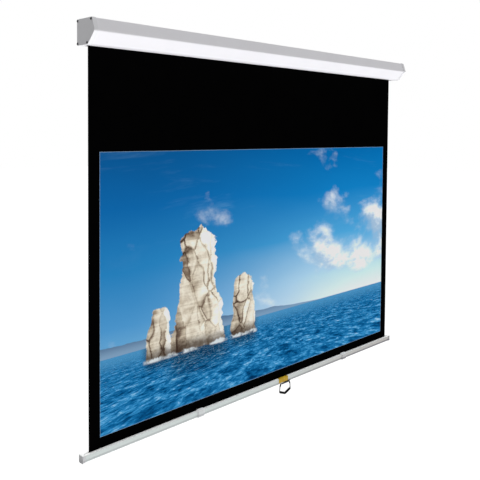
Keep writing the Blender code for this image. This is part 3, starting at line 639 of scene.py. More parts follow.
def pictureGroup():
    tree, given, result = newGroup("Sea picture", {"Map": origin}, {"Colour": plainGrey})
    across, up, _ = separated(given["Map"])
    wide = across * (picture["width"] / picture["height"])
    spot = vector(wide, up)
    horizon, stackFoot = picture["horizon"], picture["stackFoot"]

    # Sky, deeper to the left and overhead
    haze = noise(vector(wide * 0.7, up * 2.0), 1.6)
    climb = (up - horizon) / (1 - horizon) + varied(haze, 0.0, 0.16)
    left = colourRamp(climb, [
        (0.0, shown(108, 172, 216)), (0.14, shown(78, 152, 208)), (0.42, shown(38, 130, 192)),
        (0.72, shown(16, 104, 172)), (1.0, shown(12, 88, 150)),
    ])
    right = colourRamp(climb, [
        (0.0, shown(232, 246, 252)), (0.14, shown(198, 232, 248)), (0.42, shown(80, 170, 224)),
        (0.72, shown(18, 130, 200)), (1.0, shown(6, 112, 182)),
    ])
    sky = mixed(step(across, 0.05, 0.95), left, right)

    # Clouds: noise above a level that falls inside a band on the right, lit from above
    cover = step(up, 0.29, 0.46) * step(up, 0.92, 0.5) * step(across, 0.36, 0.9)
    body = noise(vector(wide, up * 1.6), 2.7, 10.0, 0.54, 0.15)
    above = noise(vector(wide + 0.015, up * 1.6 + 0.06), 2.7, 10.0, 0.54, 0.15)
    lit = mixed(step(body - above, -0.07, 0.07), shown(168, 196, 222), shown(250, 252, 253))
    sky = mixed(step(cover * 0.26 + body, 0.60, 0.80) * 0.95, sky, lit)
    wisps = noise(vector(wide * 0.9, up * 5.0), 1.5, 8.0, 0.6, 0.8)
    sky = mixed(step(wisps, 0.54, 0.84) * step(up, 0.45, 0.75) * 0.34, sky, shown(150, 202, 232))

    # Far hills
    ridge = noise(vector(wide, 0.0), 3.1, 5.0)
    top = step(across, 0.72, 0.35) * 0.075 * ridge + (horizon + 0.002)
    hills = mixed(step(up, horizon, horizon + 0.05), shown(128, 160, 190), shown(86, 118, 152))
    sky = mixed(step(top - up, -0.0015, 0.0015), sky, hills)

    # Sea: noise in perspective, closer and finer towards the horizon
    depth = larger(horizon - up, 0.0)
    far = 0.06 / (depth + 0.012)
    seaSpot = vector((wide - 0.8) * 3.0 * far, far * 2.6)
    swell = noise(seaSpot, 9.0, 6.0, 0.62, 0.5)
    ripple = noise(seaSpot, 34.0, 6.0, 0.68, 0.6)
    sea = colourRamp(swell * 0.5 + ripple * 0.5, [
        (0.36, shown(2, 44, 84)), (0.44, shown(8, 80, 132)), (0.50, shown(22, 112, 170)),
        (0.56, shown(60, 150, 206)), (0.62, shown(132, 192, 228)),
    ])
    sea = mixed(step(depth, 0.06, 0.0) * 0.7, sea, shown(84, 156, 202))
    sea = mixed(step(ripple, 0.62, 0.70) * step(swell, 0.45, 0.6) * 0.7, sea, shown(214, 232, 242))

    # Chalk stacks: columns that narrow upwards, with sides bent by slow noise and roughened by fine noise
    bend = noise(spot, 3.4, 2.0)
    rough = noise(spot, 15.0, 8.0, 0.66)
    crown = noise(vector(wide, 0.0), 12.0, 6.0, 0.62)
    lap = noise(vector(wide, 0.5), 20.0, 5.0, 0.6)
    foot = varied(lap, stackFoot, 0.020)
    stacks, facing, shadow = 0.0, 0.0, 0.0
    for middle, halfWidth, peak in picture["stacks"]:
        tallness = peak - stackFoot
        aside = wide - middle + (bend - 0.5) * (0.9 * halfWidth)
        tall = larger((up - stackFoot) / tallness, 0.0)
        edge = (rough - 0.5) * (0.8 * halfWidth)
        room = tall**1.4 * (-0.50 * halfWidth) + 1.05 * halfWidth - abs(aside) + edge
        dome = aside * aside * (-0.5 / halfWidth) + (crown - 0.5) * (0.30 * tallness) + peak
        mask = step(room, -0.002, 0.003) * step(dome - up, -0.002, 0.003) * step(up - foot, -0.002, 0.003)
        facing = facing * (1.0 - mask) + aside / halfWidth * mask
        stacks = larger(stacks, mask)
        under = step(abs(aside) + edge * 0.6, halfWidth * 1.5, halfWidth * 0.7)
        shadow = larger(shadow, under * step(up, stackFoot - 0.30 * tallness, stackFoot))

    # Their faces: broad planes, slanted cracks between blocks and faint level beds, lit from the right
    blocks = {"Vector": vector(rough * 0.05 + wide, bend * 0.3 + up * 0.45), "Scale": 17.0}
    tint = output(add(tree, "ShaderNodeTexVoronoi", blocks), "Color")
    plane = output(add(tree, "ShaderNodeSeparateColor", {0: tint}))
    crack = output(add(tree, "ShaderNodeTexVoronoi", blocks, feature="DISTANCE_TO_EDGE"), "Distance")
    crevice = step(crack, 0.10, 0.0) * step(bend, 0.35, 0.6)
    beds = noise(vector(wide * 2.6, up * 30.0), 1.6, 7.0, 0.62, 0.7)
    light = facing * 0.17 + plane * 0.20 + rough * 0.60 + beds * 0.34 - crevice * 0.24 + 0.06
    rock = colourRamp(light, [
        (0.30, shown(62, 48, 42)), (0.42, shown(126, 108, 92)), (0.54, shown(198, 185, 164)),
        (0.66, shown(236, 228, 211)), (0.84, shown(252, 249, 242)),
    ])
    wet = step(rough * 0.07 + up, stackFoot + 0.10, stackFoot + 0.045)
    rock = mixed(wet * 0.85, rock, shown(58, 42, 34))
    sea = mixed(shadow * 0.75, sea, shown(4, 34, 56))
    sea = mixed(shadow * step(ripple, 0.55, 0.66) * 0.6, sea, shown(190, 202, 202))

    # Foam where the sea meets the stacks and on a few crests
    surf = step(lap * 0.030 - 0.006 - abs(up - foot), -0.002, 0.006) * step(shadow, 0.1, 0.5)
    crest = step(swell, 0.60, 0.68) * step(ripple, 0.52, 0.64)
    foam = larger(surf * step(rough, 0.38, 0.60), crest * 0.6) * step(up, horizon, horizon - 0.01)

    view = mixed(step(up, horizon - 0.001, horizon + 0.001), sea, sky)
    view = mixed(stacks, view, rock)
    view = mixed(1.0, view, (*[picture["gain"]] * 3, 1.0), "MULTIPLY")
    fill(result, {"Colour": mixed(foam, view, shown(232, 240, 244))})
    return tree


screenWeave = clothWeaveGroup()
seaPicture = pictureGroup()
coating = {"dark": (0.0008, 0.0008, 0.0009, 1.0), "pale": (0.0015, 0.0015, 0.0016, 1.0), "roughness": 0.95,
           "relief": 0.00002, "strength": 0.6}


# Black coated cloth. With a picture, the map shows it inside its edges with a thin pale band round it.
def clothMaterial(name, pictured):
    material, tree, shader = newMaterial(name, Specular_IOR_Level=0.0)
    sheetMap = output(add(tree, "ShaderNodeUVMap", uv_map="cloth map"))
    weave = useGroup(tree, screenWeave, {"Place": sheetMap})
    colour = mixed(weave["Tone"], coating["dark"], coating["pale"])
    if pictured:
        across, up, _ = separated(sheetMap)
        up = up - clothSeam
        spot = vector(across / picture["width"] + 0.5, up / picture["height"])
        view = useGroup(tree, seaPicture, {"Map": spot})["Colour"]
        inside = smaller(picture["width"] / 2 - abs(across), smaller(picture["height"] - up, up))
        band = step(inside, picture["edgeBand"], picture["edgeBand"] * 0.6)
        view = mixed(band * 0.6, view, shown(176, 200, 218))
        colour = mixed(step(inside, -0.0002, 0.0002), colour, view)
    dress(shader, colour, coating["roughness"], weave["Height"], coating["relief"], coating["strength"])
    return material


screenCloth = clothMaterial("screenCloth", True)
borderCloth = clothMaterial("borderCloth", False)
print("cloth finishes made")


# Casing

casing = {
    "topDepth": 0.0909,
    "noseDepth": 0.1053,
    "bottomDepth": 0.0654,
    "noseHeight": 0.0415,
    "wall": 0.0015,
    "corner": 0.0025,
    "nose": 0.006,
    "slotWidth": 0.018,
    "lip": 0.005,
    "lipCorner": 0.0018,
    "portInset": 0.0048,
    "portRadius": 0.0044,
    "portBore": 0.00205,
}
casingTop, casingBottom, casingEnd = shellHigh[2], shellLow[2], shellHigh[0]
casingCorners = [
    (0.0, casingBottom), (0.0, casingTop), (-casing["topDepth"], casingTop),
    (-casing["noseDepth"], casingBottom + casing["noseHeight"]), (-casing["bottomDepth"], casingBottom),
]
casingRadii = [casing["corner"]] * 3 + [casing["nose"], casing["corner"]]
portPlaces = movedOutline(casingCorners, [-casing["portInset"]] * 5)[[0, 1, 2, 4]]

keyhole = {"spacing": 1.60, "head": 0.010, "neck": 0.005, "rise": 0.012, "height": 0.012, "depth": 0.0045,
           "headSteps": 32, "neckSteps": 16}


def keyholeCutter(x):
    entry, neck = keyhole["head"] / 2, keyhole["neck"] / 2
    start = math.acos(neck / entry)
    lower = entry * circle(np.linspace(start, -math.pi - start, keyhole["headSteps"] + 1))
    upper = neck * circle(np.linspace(math.pi, 0, keyhole["neckSteps"] + 1)) + (0.0, keyhole["rise"])
    across, up = np.concatenate([lower, upper]).T
    depth = np.array([[-keyhole["depth"]], [keyhole["depth"]]])
    grid = stacked(x + across, depth, keyhole["height"] + up)
    return gridPiece("keyhole", grid, closedColumns=True, ends=True)


def makeCasing():
    near, far = clothY + casing["slotWidth"] / 2, clothY - casing["slotWidth"] / 2
    lipTop = casingBottom + casing["lip"]
    corners = [(near, lipTop), (near, casingBottom), *casingCorners, (far, casingBottom), (far, lipTop)]
    radii = [0.0, casing["lipCorner"], *casingRadii, casing["lipCorner"], 0.0]
    path = roundedPath(corners, radii, closed=False)
    ends = [(-casingEnd, 0), (casingEnd, 0)]
    shell = carried("casingShell", path, ends, closed=False, ends=False, solid=False)
    thicken(shell, casing["wall"])
    for y, z in portPlaces:
        combine(shell, rod("port", (-casingEnd, y, z), (casingEnd, y, z), casing["portRadius"]), "UNION")
    reach = casingEnd + overshoot
    for y, z in portPlaces:
        drill(shell, (-reach, y, z), (reach, y, z), casing["portBore"])
    for side in sideNames:
        combine(shell, keyholeCutter(side * keyhole["spacing"] / 2))
    place(shell, "casing", "white_paint", whitePaint, "casing_shell")


makeCasing()
print("casing made")


# End caps and their screws

endCap = {"wall": 0.0013, "plate": 0.0025, "faceEdge": 0.0010, "skirtEdge": 0.0004}
screw = {
    "head": 0.0084,
    "headHeight": 0.0020,
    "rimShare": 0.22,  # how much of the head's height is its upright rim
    "dome": 2.6,  # 2 gives an ellipse, more a flatter top
    "domeSteps": 20,
    "recess": 0.0013,
    "recessReach": 0.0026,
    "recessWidth": 0.0006,
    "recessSlope": 0.35,  # of its walls, in widths
    "recessTaper": 0.45,  # how much shallower it is at its reach
    "shank": 0.0035,
    "threadPitch": 0.0013,
    "threadDepth": 0.0003,
    "threadSteps": 60,
}
capLow, capHigh = nodeBox("right_end_cap")
plateHigh = nodeBox("right_bearing_plate")[1][0]


def makeEndCap(side, word):
    grow = clearance + endCap["wall"]
    outer = movedOutline(casingCorners, [0.0] + [grow] * 4)
    outerRadii = [casing["corner"] + grow] * 3 + [casing["nose"] + grow, casing["corner"] + grow]
    low, high = sorted((side * capLow[0], side * capHigh[0]))
    edges = (endCap["skirtEdge"], endCap["faceEdge"])[::side]
    cap = carried(f"{word}EndCap", roundedPath(outer, outerRadii), roundedStations(low, high, *edges))
    pocket = movedOutline(casingCorners, [endCap["plate"]] + [clearance] * 4)
    pocketRadii = [sharpCorner] * 2 + [radius + clearance for radius in casingRadii[2:]]
    low, high = sorted((side * (capLow[0] - endCap["plate"]), side * (plateHigh + clearance)))
    combine(cap, carried("pocket", roundedPath(pocket, pocketRadii), [(low, 0), (high, 0)]))
    near, far = side * capLow[0], side * (capHigh[0] + overshoot)
    for y, z in portPlaces:
        drill(cap, (near, y, z), (far, y, z), casing["portBore"])
    place(cap, "casing", "grey_plastic", capPlastic, f"{word}_end_cap")


# A screw along its own axis, r out and h up. Its head is a dome, rim + (1 - rim) sqrt(1 - (r / radius)^dome),
# with a cross cut into it. Its shank swells along a helix, stem + depth |sin(pi (h / pitch + turn))|, down to
# the point.
def screwGrid(head, headHeight, shank, reach, around=48):
    turn = np.linspace(0, 2 * math.pi, around, endpoint=False)
    radius = head / 2
    domeOut = np.sin(np.linspace(0, math.pi / 2, screw["domeSteps"])) * radius
    bulge = np.sqrt(np.maximum(0, 1 - (domeOut / radius) ** screw["dome"]))
    domeUp = headHeight * (screw["rimShare"] + (1 - screw["rimShare"]) * bulge)
    x, y = circle(turn).T[:, None] * domeOut[:, None]
    size = head / screw["head"]
    width, length = screw["recessWidth"] * size, screw["recessReach"] * size
    inside = lambda value, edge: np.clip((edge - abs(value)) / (screw["recessSlope"] * width) + 0.5, 0, 1)
    arms = np.maximum(inside(x, width) * inside(y, length), inside(y, width) * inside(x, length))
    taper = 1 - screw["recessTaper"] * np.hypot(x, y) / length
    up = domeUp[:, None] - arms * screw["recess"] * size * np.clip(taper, 0, 1)
    along = np.linspace(0, reach - shank / 2, screw["threadSteps"])[1:, None]
    thread = screw["threadDepth"] * (shank / screw["shank"])
    swell = abs(np.sin(math.pi * (along / screw["threadPitch"] + turn / (2 * math.pi))))
    circles = [
        (domeOut[:, None], up),
        (np.array([[radius], [shank / 2]]), 0.0),
        (shank / 2 - thread + thread * swell, -along),
        (np.zeros((1, 1)), -reach),
    ]
    x, y = circle(turn).T
    return np.concatenate([stacked(out * x, out * y, height) for out, height in circles])


def makeScrew(name, grid, foot, axis, body, node):
    axis = np.asarray(axis, float)
    side = np.cross(axis, [0.0, 1.0, 0.0])
    basis = np.stack([side, np.cross(axis, side), axis])
    piece = gridPiece(name, grid @ basis + foot, closedColumns=True)
    place(piece, body, "dark_screw", blackenedSteel, node)


def makeCapScrews(side, word):
    low, high = nodeBox(f"{word}_cap_screw_1")
    reach = high[0] - low[0] - screw["headHeight"]
    seat = max(abs(low[0]), abs(high[0])) - screw["headHeight"]
    grid = screwGrid(screw["head"], screw["headHeight"], screw["shank"], reach)
    for number, (y, z) in enumerate(portPlaces, 1):
        makeScrew(f"{word}CapScrew{number}", grid, (side * seat, y, z), (side, 0, 0), "casing",
                  f"{word}_cap_screw_{number}")


for side, word in sideNames.items():
    makeEndCap(side, word)
    makeCapScrews(side, word)
print("end caps and screws made")


# Cloth

sheet = {
    "columns": 121,
    "rows": 91,
    "waveDepth": 0.0007,
    "waves": [(5.1, 1.3, 0.0), (2.3, -4.0, 0.6)],  # radians per metre across, radians down, and at the start
    "waveFades": (0.12, 0.06),  # shares of the height over which the waves set in and fade out
    "hemTurn": math.radians(340),
    "hemSteps": (24, 48),  # along the straight and round the rod
    "rollTurns": 2,
    "rollSteps": 96,
    "stations": 25,
    "backShift": 3.0,  # how much lower the back lies in the flat map, clear of the picture
    "creaseAngle": 50,
}
# Shares of the baked square: its rim, the front's width and greatest height, and how the back fills the rest
bakedSquare = {"rim": 0.002, "frontWidth": 0.996, "frontHeight": 0.78, "room": 0.99, "backHeight": 0.9}


# Layers of a sheet, joined round their edge into a thin closed piece. The path holds the sheet's y and z, and
# each of the two layers lies at point + normal * height.
def sheetPiece(name, x, path, normals, heights):
    layers = [stacked(x, path[0] + normals[0] * height, path[1] + normals[1] * height) for height in heights]
    rows, columns = layers[0].shape[:2]
    count = rows * columns
    faces = gridFaces(rows, columns)
    back = [[corner + count for corner in face[::-1]] for face in faces]
    index = np.arange(count).reshape(rows, columns)
    rim = np.concatenate([index[0, :-1], index[:-1, -1], index[-1, :0:-1], index[:0:-1, 0]])
    following = np.roll(rim, -1)
    edge = np.stack([following, rim, rim + count, following + count], 1).tolist()
    mesh = bpy.data.meshes.new(name)
    mesh.from_pydata(np.concatenate(layers).reshape(-1, 3).tolist(), [], faces + back + edge)
    weld(mesh, distance=0)
    shade(mesh, sheet["creaseAngle"])
    return addObject(name, mesh)


# A cloth with a flat map of it in metres, from the middle across and with the back lower, and a second map
# that gives the front most of the square
def clothPiece(name, x, path, normals, upward):
    piece = sheetPiece(name, x, path, normals, (-clothThickness / 2, clothThickness / 2))
    mesh = piece.data
    corner = np.zeros(len(mesh.loops), np.int32)
    mesh.loops.foreach_get("vertex_index", corner)
    places = stacked(x, upward).reshape(-1, 2)
    isFront = corner < len(places)
    flat = places[corner % len(places)]
    lowest, size = flat.min(0), np.ptp(flat, axis=0)
    across, up = ((flat - lowest) / size).T
    rim, width = bakedSquare["rim"], bakedSquare["frontWidth"]
    tall = width * min(size[1] / size[0], bakedSquare["frontHeight"])
    backTall = (bakedSquare["room"] - tall) * bakedSquare["backHeight"]
    height = np.where(isFront, 1 - rim - tall + tall * up, rim + backTall * up)
    packed = stacked(rim + width * across, height)
    flat[:, 1] -= np.where(isFront, 0.0, sheet["backShift"])
    mesh.uv_layers.new(name="cloth map").data.foreach_set("uv", flat.astype(np.float32).ravel())
    mesh.uv_layers.new(name="OFBake").data.foreach_set("uv", packed.astype(np.float32).ravel())
    return piece


# The hanging sheet: y = middle + depth * slow waves across and down, which fade out at its top and bottom
def makeScreen():
    width, drop = clothHigh[0] - clothLow[0], clothHigh[2] - clothSeam
    x = np.linspace(clothLow[0], clothHigh[0], sheet["columns"])[None, :]
    z = np.linspace(clothHigh[2], clothSeam, sheet["rows"])[:, None]
    down = (clothHigh[2] - z) / drop
    fadeIn, fadeOut = sheet["waveFades"]
    fade = np.clip(down / fadeIn, 0, 1) * np.clip((1 - down) / fadeOut, 0, 1)
    waves = [np.sin(across * x + fall * down + start) for across, fall, start in sheet["waves"]]
    y = clothY + sheet["waveDepth"] * sum(waves) / len(waves) * fade
    piece = clothPiece("screenCloth", x, (y, z), (1.0, 0.0), z)
    place(piece, "casing", "screen_cloth", screenCloth, "screen_fabric")
    travel = next(joint for joint in frame["joints"] if joint["name"] == "bar_lift")["range_m"][1]
    1 - travel / drop
    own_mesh(piece)


# A cloth that follows a flat path in YZ from one end to the other, the same all along X
def pathCloth(name, path, normals):
    x = np.linspace(clothLow[0], clothHigh[0], sheet["stations"])[None, :]
    length = distanceAlong(path)
    piece = clothPiece(name, x, path.T[:, :, None], normals.T[:, :, None], -length[:, None])
    return piece, length[-1]


# The border below the picture goes down through the bar's slot and round the rod: a straight, then a circle
def makeHem():
    radius = (hemHigh[1] - hemLow[1]) / 2 - clothThickness / 2
    middle = hemLow[2] + radius + clothThickness / 2
    downSteps, roundSteps = sheet["hemSteps"]
    straight = np.linspace(clothSeam, middle + radius, downSteps)[:-1]
    outward = circle(math.pi / 2 + np.linspace(0, sheet["hemTurn"], roundSteps))
    path = np.concatenate([stacked(clothY, straight), (clothY, middle) + radius * outward])
    normals = np.concatenate([[(-1.0, 0.0)] * len(straight), outward])
    normals[len(straight)] = (-1 / math.sqrt(2), 1 / math.sqrt(2))
    piece, length = pathCloth("hemCloth", path, -normals)
    place(piece, "bar", "black_border", borderCloth, "fabric_hem")


# The spare turns on the roller: a spiral whose radius falls evenly from the outer turn to the tube
def makeRoll():
    outer = clothY - rollerAxis[0]
    inner = tubeRadius + clearance + clothThickness / 2
    turn = np.linspace(0, 2 * math.pi * sheet["rollTurns"], sheet["rollTurns"] * sheet["rollSteps"] + 1)
    radius = outer + (inner - outer) * turn / turn[-1]
    normals = circle(turn)
    piece, length = pathCloth("rollCloth", rollerAxis + normals * radius[:, None], normals)
    place(piece, "roller", "black_border", borderCloth, "fabric_roll")


makeScreen()
makeHem()
makeRoll()
print("cloth made")


# Bottom bar with its caps, bumpers and sticker

bar = {"topCorner": 0.0025, "bottomCorner": 0.0035, "wall": 0.0016, "slot": 0.003, "drillReach": 0.004}
barCap = {"wall": 0.0013, "edge": 0.0006, "skirtEdge": 0.0003}
bumper = {"wall": 0.0032, "endDrop": 0.0027, "endLength": 0.0075, "endSteps": 12, "gapDepth": 0.001}
sticker = {"thickness": 0.0002, "gap": 0.00002, "corner": 0.0015, "margin": 0.0005, "rows": 90, "columns": 40,
           "bendSteps": 14}
(barFront, barBottom), (barBack, barTop) = barLow[1:], barHigh[1:]
barCorners = [(barFront, barTop), (barFront, barBottom), (barBack, barBottom), (barBack, barTop)]
barRadii = [bar["topCorner"], bar["bottomCorner"], bar["bottomCorner"], bar["topCorner"]]
slotFront, slotBack = clothY - bar["slot"] / 2, clothY + bar["slot"] / 2


def grownBar(distance):
    return movedOutline(barCorners, [distance] * 4), [radius + distance for radius in barRadii]


# Cuts room for the bar out of a piece that sits round it
def cutBarRoom(piece, left, right):
    combine(piece, carried("seat", roundedPath(*grownBar(clearance)), [(left, 0), (right, 0)]))


# Where a bracket screw stands, its shank's radius, and the heights of its head and its point
def bracketScrew(number):
    low, high = nodeBox(f"bracket_screw_{number}")
    x, y = (low[:2] + high[:2]) / 2
    return x, y, (high[0] - low[0]) / 4, low[2], high[2]


# The section is open above by the slot, from the slot's front edge round below to its back edge
def makeBar():
    corners, radii = grownBar(0.0)
    top = corners[0][1]
    outline = [(slotFront, top), *corners, (slotBack, top)]
    section = roundedPath(outline, [0.0, *radii, 0.0], closed=False, steps=10)
    ends = [(barLow[0], 0), (barHigh[0], 0)]
    piece = carried("bottomBar", section, ends, closed=False, ends=False, solid=False)
    thicken(piece, bar["wall"])
    shade(piece.data)
    for number in (1, 2):
        x, y, radius, _, _ = bracketScrew(number)
        low, high = barBottom - bar["drillReach"], barBottom + bar["drillReach"]
        drill(piece, (x, y, low), (x, y, high), radius + clearance)
    place(piece, "bar", "pale_aluminium", barAluminium, "bottom_bar")


def makeBarCap(side, word):
    low, high = nodeBox(f"{word}_bar_cap")
    corners, radii = grownBar(clearance + barCap["wall"])
    edges = (barCap["skirtEdge"], barCap["edge"])[::side]
    cap = carried(f"{word}BarCap", roundedPath(corners, radii), roundedStations(low[0], high[0], *edges))
    cutBarRoom(cap, *sorted((side * (barHigh[0] - 2 * overshoot), side * (barHigh[0] + clearance))))
    place(cap, "bar", "grey_plastic", barCapPlastic, f"{word}_bar_cap")


# A sleeve round the bar, open above for the cloth. It swells from each end to its full size by
# drop (1 - cos (pi s)) / 2, with s from 0 at the end to 1 at the end's length.
def makeBumper(word):
    low, high = nodeBox(f"{word}_bumper")
    path = roundedPath(*grownBar(clearance + bumper["wall"]))
    share = np.linspace(0, 1, bumper["endSteps"] + 1)
    growth = -bumper["endDrop"] * (1 + np.cos(math.pi * share)) / 2
    first = stacked(low[0] + bumper["endLength"] * share, growth)
    last = stacked(high[0] - bumper["endLength"] * share, growth)[::-1]
    piece = carried(f"{word}Bumper", path, np.concatenate([first, last]))
    left, right = low[0] - overshoot, high[0] + overshoot
    cutBarRoom(piece, left, right)
    floor, roof = barTop - bumper["gapDepth"], barTop + overshoot
    gap = [(slotFront, roof), (slotFront, floor), (slotBack, floor), (slotBack, roof)]
    combine(piece, carried("gap", roundedPath(gap, [sharpCorner] * 4), [(left, 0), (right, 0)]))
    place(piece, "bar", "grey_rubber", bumperPlastic, f"{word}_bumper")


# A film over the bar's top and down its front. Its ends draw in near the two long edges by
# radius - sqrt(radius^2 - distance^2), which rounds its four corners.
def makeSticker():
    corners, radii = grownBar(clearance)
    points, normals = roundedPath(corners, radii, steps=sticker["bendSteps"])
    start = (slotFront - sticker["margin"], corners[0][1])
    bend = slice(1, sticker["bendSteps"] + 2)
    points = np.concatenate([[start], points[bend], [(corners[0][0], stickerLow[2])]])
    normals = np.concatenate([[(0.0, 1.0)], normals[bend], [(-1.0, 0.0)]])
    along = distanceAlong(points)
    dense = np.linspace(0, along[-1], sticker["rows"])
    points, normals = [
        [np.interp(dense, along, values[:, k])[:, None] for k in (0, 1)] for values in (points, normals)
    ]
    fromEnd = np.minimum(dense, dense[-1] - dense)
    into = np.clip(sticker["corner"] - fromEnd, 0, None)
    drawIn = sticker["corner"] - np.sqrt(sticker["corner"] ** 2 - into**2)
    x = stickerMiddle + np.linspace(-1, 1, sticker["columns"])[None, :] * (stickerHalf - drawIn)[:, None]
    piece = sheetPiece("barSticker", x, points, normals, (sticker["thickness"], sticker["gap"]))
    place(piece, "bar", "ochre_sticker", ochreFilm, "bar_sticker")


makeBar()
for side, word in sideNames.items():
    makeBarCap(side, word)
    makeBumper(word)
makeSticker()
print("bar made")


# Bracket and pull ring

ring = {
    "corners": [(0.0285, 0.0), (0.035, -0.013), (0.0375, -0.0365), (0.0, -0.051)],  # right half and tip
    "cornerRadius": 0.006,
    "gripRadius": 0.0085,
    "tipRadius": 0.009,
    "wire": 0.0048,
    "shoulderWire": 0.0060,
    "sideWire": 0.0036,
    "grip": 0.0105,
    "bendSteps": 12,
    "around": 24,
}
bracket = {
    "wall": 0.0010,
    "base": 0.0015,
    "draft": 0.0002,
    "corner": 0.0020,
    "fillet": 0.0006,
    "edge": 0.0005,
    "endRound": 0.00025,
}
ringLow, ringHigh = nodeBox("pull_ring")
ringMiddle = (ringLow[0] + ringHigh[0]) / 2
ringZ = ringHigh[2] - ring["wire"] / 2
bracketLow, bracketHigh = nodeBox("handle_bracket")


# A channel over the bar's lower edges, with a boss under it that holds the ring's straight top
def makeBracket():
    bore = ring["wire"] / 2 + clearance
    boss = bore + bracket["wall"]
    base = barBottom - clearance - bracket["base"]
    seat = base - bracket["draft"]
    half = (bracketHigh[1] - bracketLow[1]) / 2
    sides = [(half, bracketHigh[2]), (half, base), (boss, seat), (boss, bracketLow[2])]
    corners = [(clothY - y, z) for y, z in sides] + [(clothY + y, z) for y, z in sides[::-1]]
    bend = bar["bottomCorner"] + clearance + bracket["base"]
    radii = [bracket["edge"], bend, bracket["fillet"], bracket["corner"]]
    ends = roundedStations(bracketLow[0], bracketHigh[0], bracket["endRound"], bracket["endRound"])
    block = carried("handleBracket", roundedPath(corners, radii + radii[::-1]), ends)
    left, right = bracketLow[0] - overshoot, bracketHigh[0] + overshoot
    cutBarRoom(block, left, right)
    drill(block, (left, clothY, ringZ), (right, clothY, ringZ), bore, 32)
    top = seat - clearance
    for number in (1, 2):
        x, y, radius, head, point = bracketScrew(number)
        drill(block, (x, y, seat - overshoot), (x, y, seat + overshoot), radius + clearance)
        grid = screwGrid(4 * radius, top - head, 2 * radius, point - top, 32)
        makeScrew(f"bracketScrew{number}", grid, (x, y, top), (0, 0, -1), "bar", f"bracket_screw_{number}")
    place(block, "bar", "black_plastic", blackPlastic, "handle_bracket")


# The loop follows a flat outline with rounded corners: a straight top, slanted shoulders, sides and a point
# below. Round each corner its thickness goes from the one straight's to the next's by (1 - cos (pi s)) / 2.
def makeRing():
    corners = ring["corners"] + [(-x, z) for x, z in ring["corners"][-2::-1]]
    bends = [ring["cornerRadius"], ring["cornerRadius"], ring["gripRadius"]]
    radii = bends + [ring["tipRadius"]] + bends[::-1]
    points, normals = roundedPath(corners[::-1], radii, steps=ring["bendSteps"])
    half = [ring["wire"], ring["shoulderWire"], ring["sideWire"], ring["grip"]]
    wires = half + half[::-1]
    share = (1 - np.cos(math.pi * np.linspace(0, 1, ring["bendSteps"] + 1))) / 2
    thickness = np.concatenate([
        np.pad(before + (after - before) * share, 1, "edge") for before, after in zip(wires, wires[1:])
    ])
    path = stacked(ringMiddle + points[:, 0], clothY, ringZ + points[:, 1])
    outward = stacked(normals[:, 0], 0.0, normals[:, 1])
    grid = tubeGrid(path, outward, np.array([[0.0, 1.0, 0.0]]), thickness / 2, ring["around"])
    piece = gridPiece("pullRing", grid, closedRows=True, closedColumns=True, angle=60)
    place(piece, "ring", "black_wire", wireCoating, "pull_ring")


makeBracket()
makeRing()
print("bracket and ring made")


# Pieces inside the casing and the bar

spring = {"turns": 20, "diameter": 0.0158, "wire": 0.0018, "stepsPerTurn": 28, "around": 12}


# A helix: x runs evenly along it, y and z turn about the roller's axis
def makeSpring():
    low, high = nodeBox("torsion_spring")
    wire = spring["wire"] / 2
    middle = spring["diameter"] / 2 - wire
    count = spring["turns"] * spring["stepsPerTurn"] + 1
    turn = np.linspace(0, 2 * math.pi * spring["turns"], count)
    x = np.linspace(low[0] + wire, high[0] - wire, count)
    outward = stacked(0.0, np.cos(turn), np.sin(turn))
    path = stacked(x, *(rollerAxis + middle * circle(turn)).T)
    along = unit(np.gradient(path, axis=0))
    grid = tubeGrid(path, outward, np.cross(along, outward), wire, spring["around"])
    piece = gridPiece("torsionSpring", grid, closedColumns=True, ends=True, angle=60)
    place(piece, "casing", "spring_steel", springWire, "torsion_spring")


# A welded copy of a solid from the frame, shaded smooth
def smoothCopy(node, slot, material, creaseAngle=34):
    words = node.split("_")
    solid = frame["nodes"][node]
    mesh = solid.data.copy()
    weld(mesh, turnOutwards=False, distance=0.00001)
    shade(mesh, creaseAngle)
    made = addObject(words[0] + "".join(word.title() for word in words[1:]), mesh)
    place(made, solid["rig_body"], slot, material, node)


hidden = {
    "left_bearing_plate": ("zinc_steel", zincPlating),
    "right_bearing_plate": ("zinc_steel", zincPlating),
    "idler_bush": ("nylon", nylon),
    "idler_pin": ("steel", brightSteel),
    "idler_plug": ("nylon", nylon),
    "roller_tube": ("zinc_steel", zincPlating),
    "spring_plug": ("nylon", nylon),
    "spring_spindle": ("steel", brightSteel),
    "spring_anchor": ("zinc_steel", zincPlating),
    "lock_head": ("black_plastic", blackPlastic),
    "lock_disc": ("steel", brightSteel),
    "lock_pawl": ("steel", brightSteel),
    "pawl_pin": ("steel", brightSteel),
    "hem_rod": ("steel", brightSteel),
}
makeSpring()
for node, (slot, material) in hidden.items():
    smoothCopy(node, slot, material)
print("inner pieces made")


# Camera, from the photograph's viewing angle

camera = {
    "place": (-2.1834, -1.9763, -0.3365),
    "yaw": math.radians(45.34),
    "pitch": math.radians(-2.30),
    "roll": math.radians(0.404),
    "lens": 49.28,
    "shiftUp": -0.168,
    "farthest": 60.0,
}


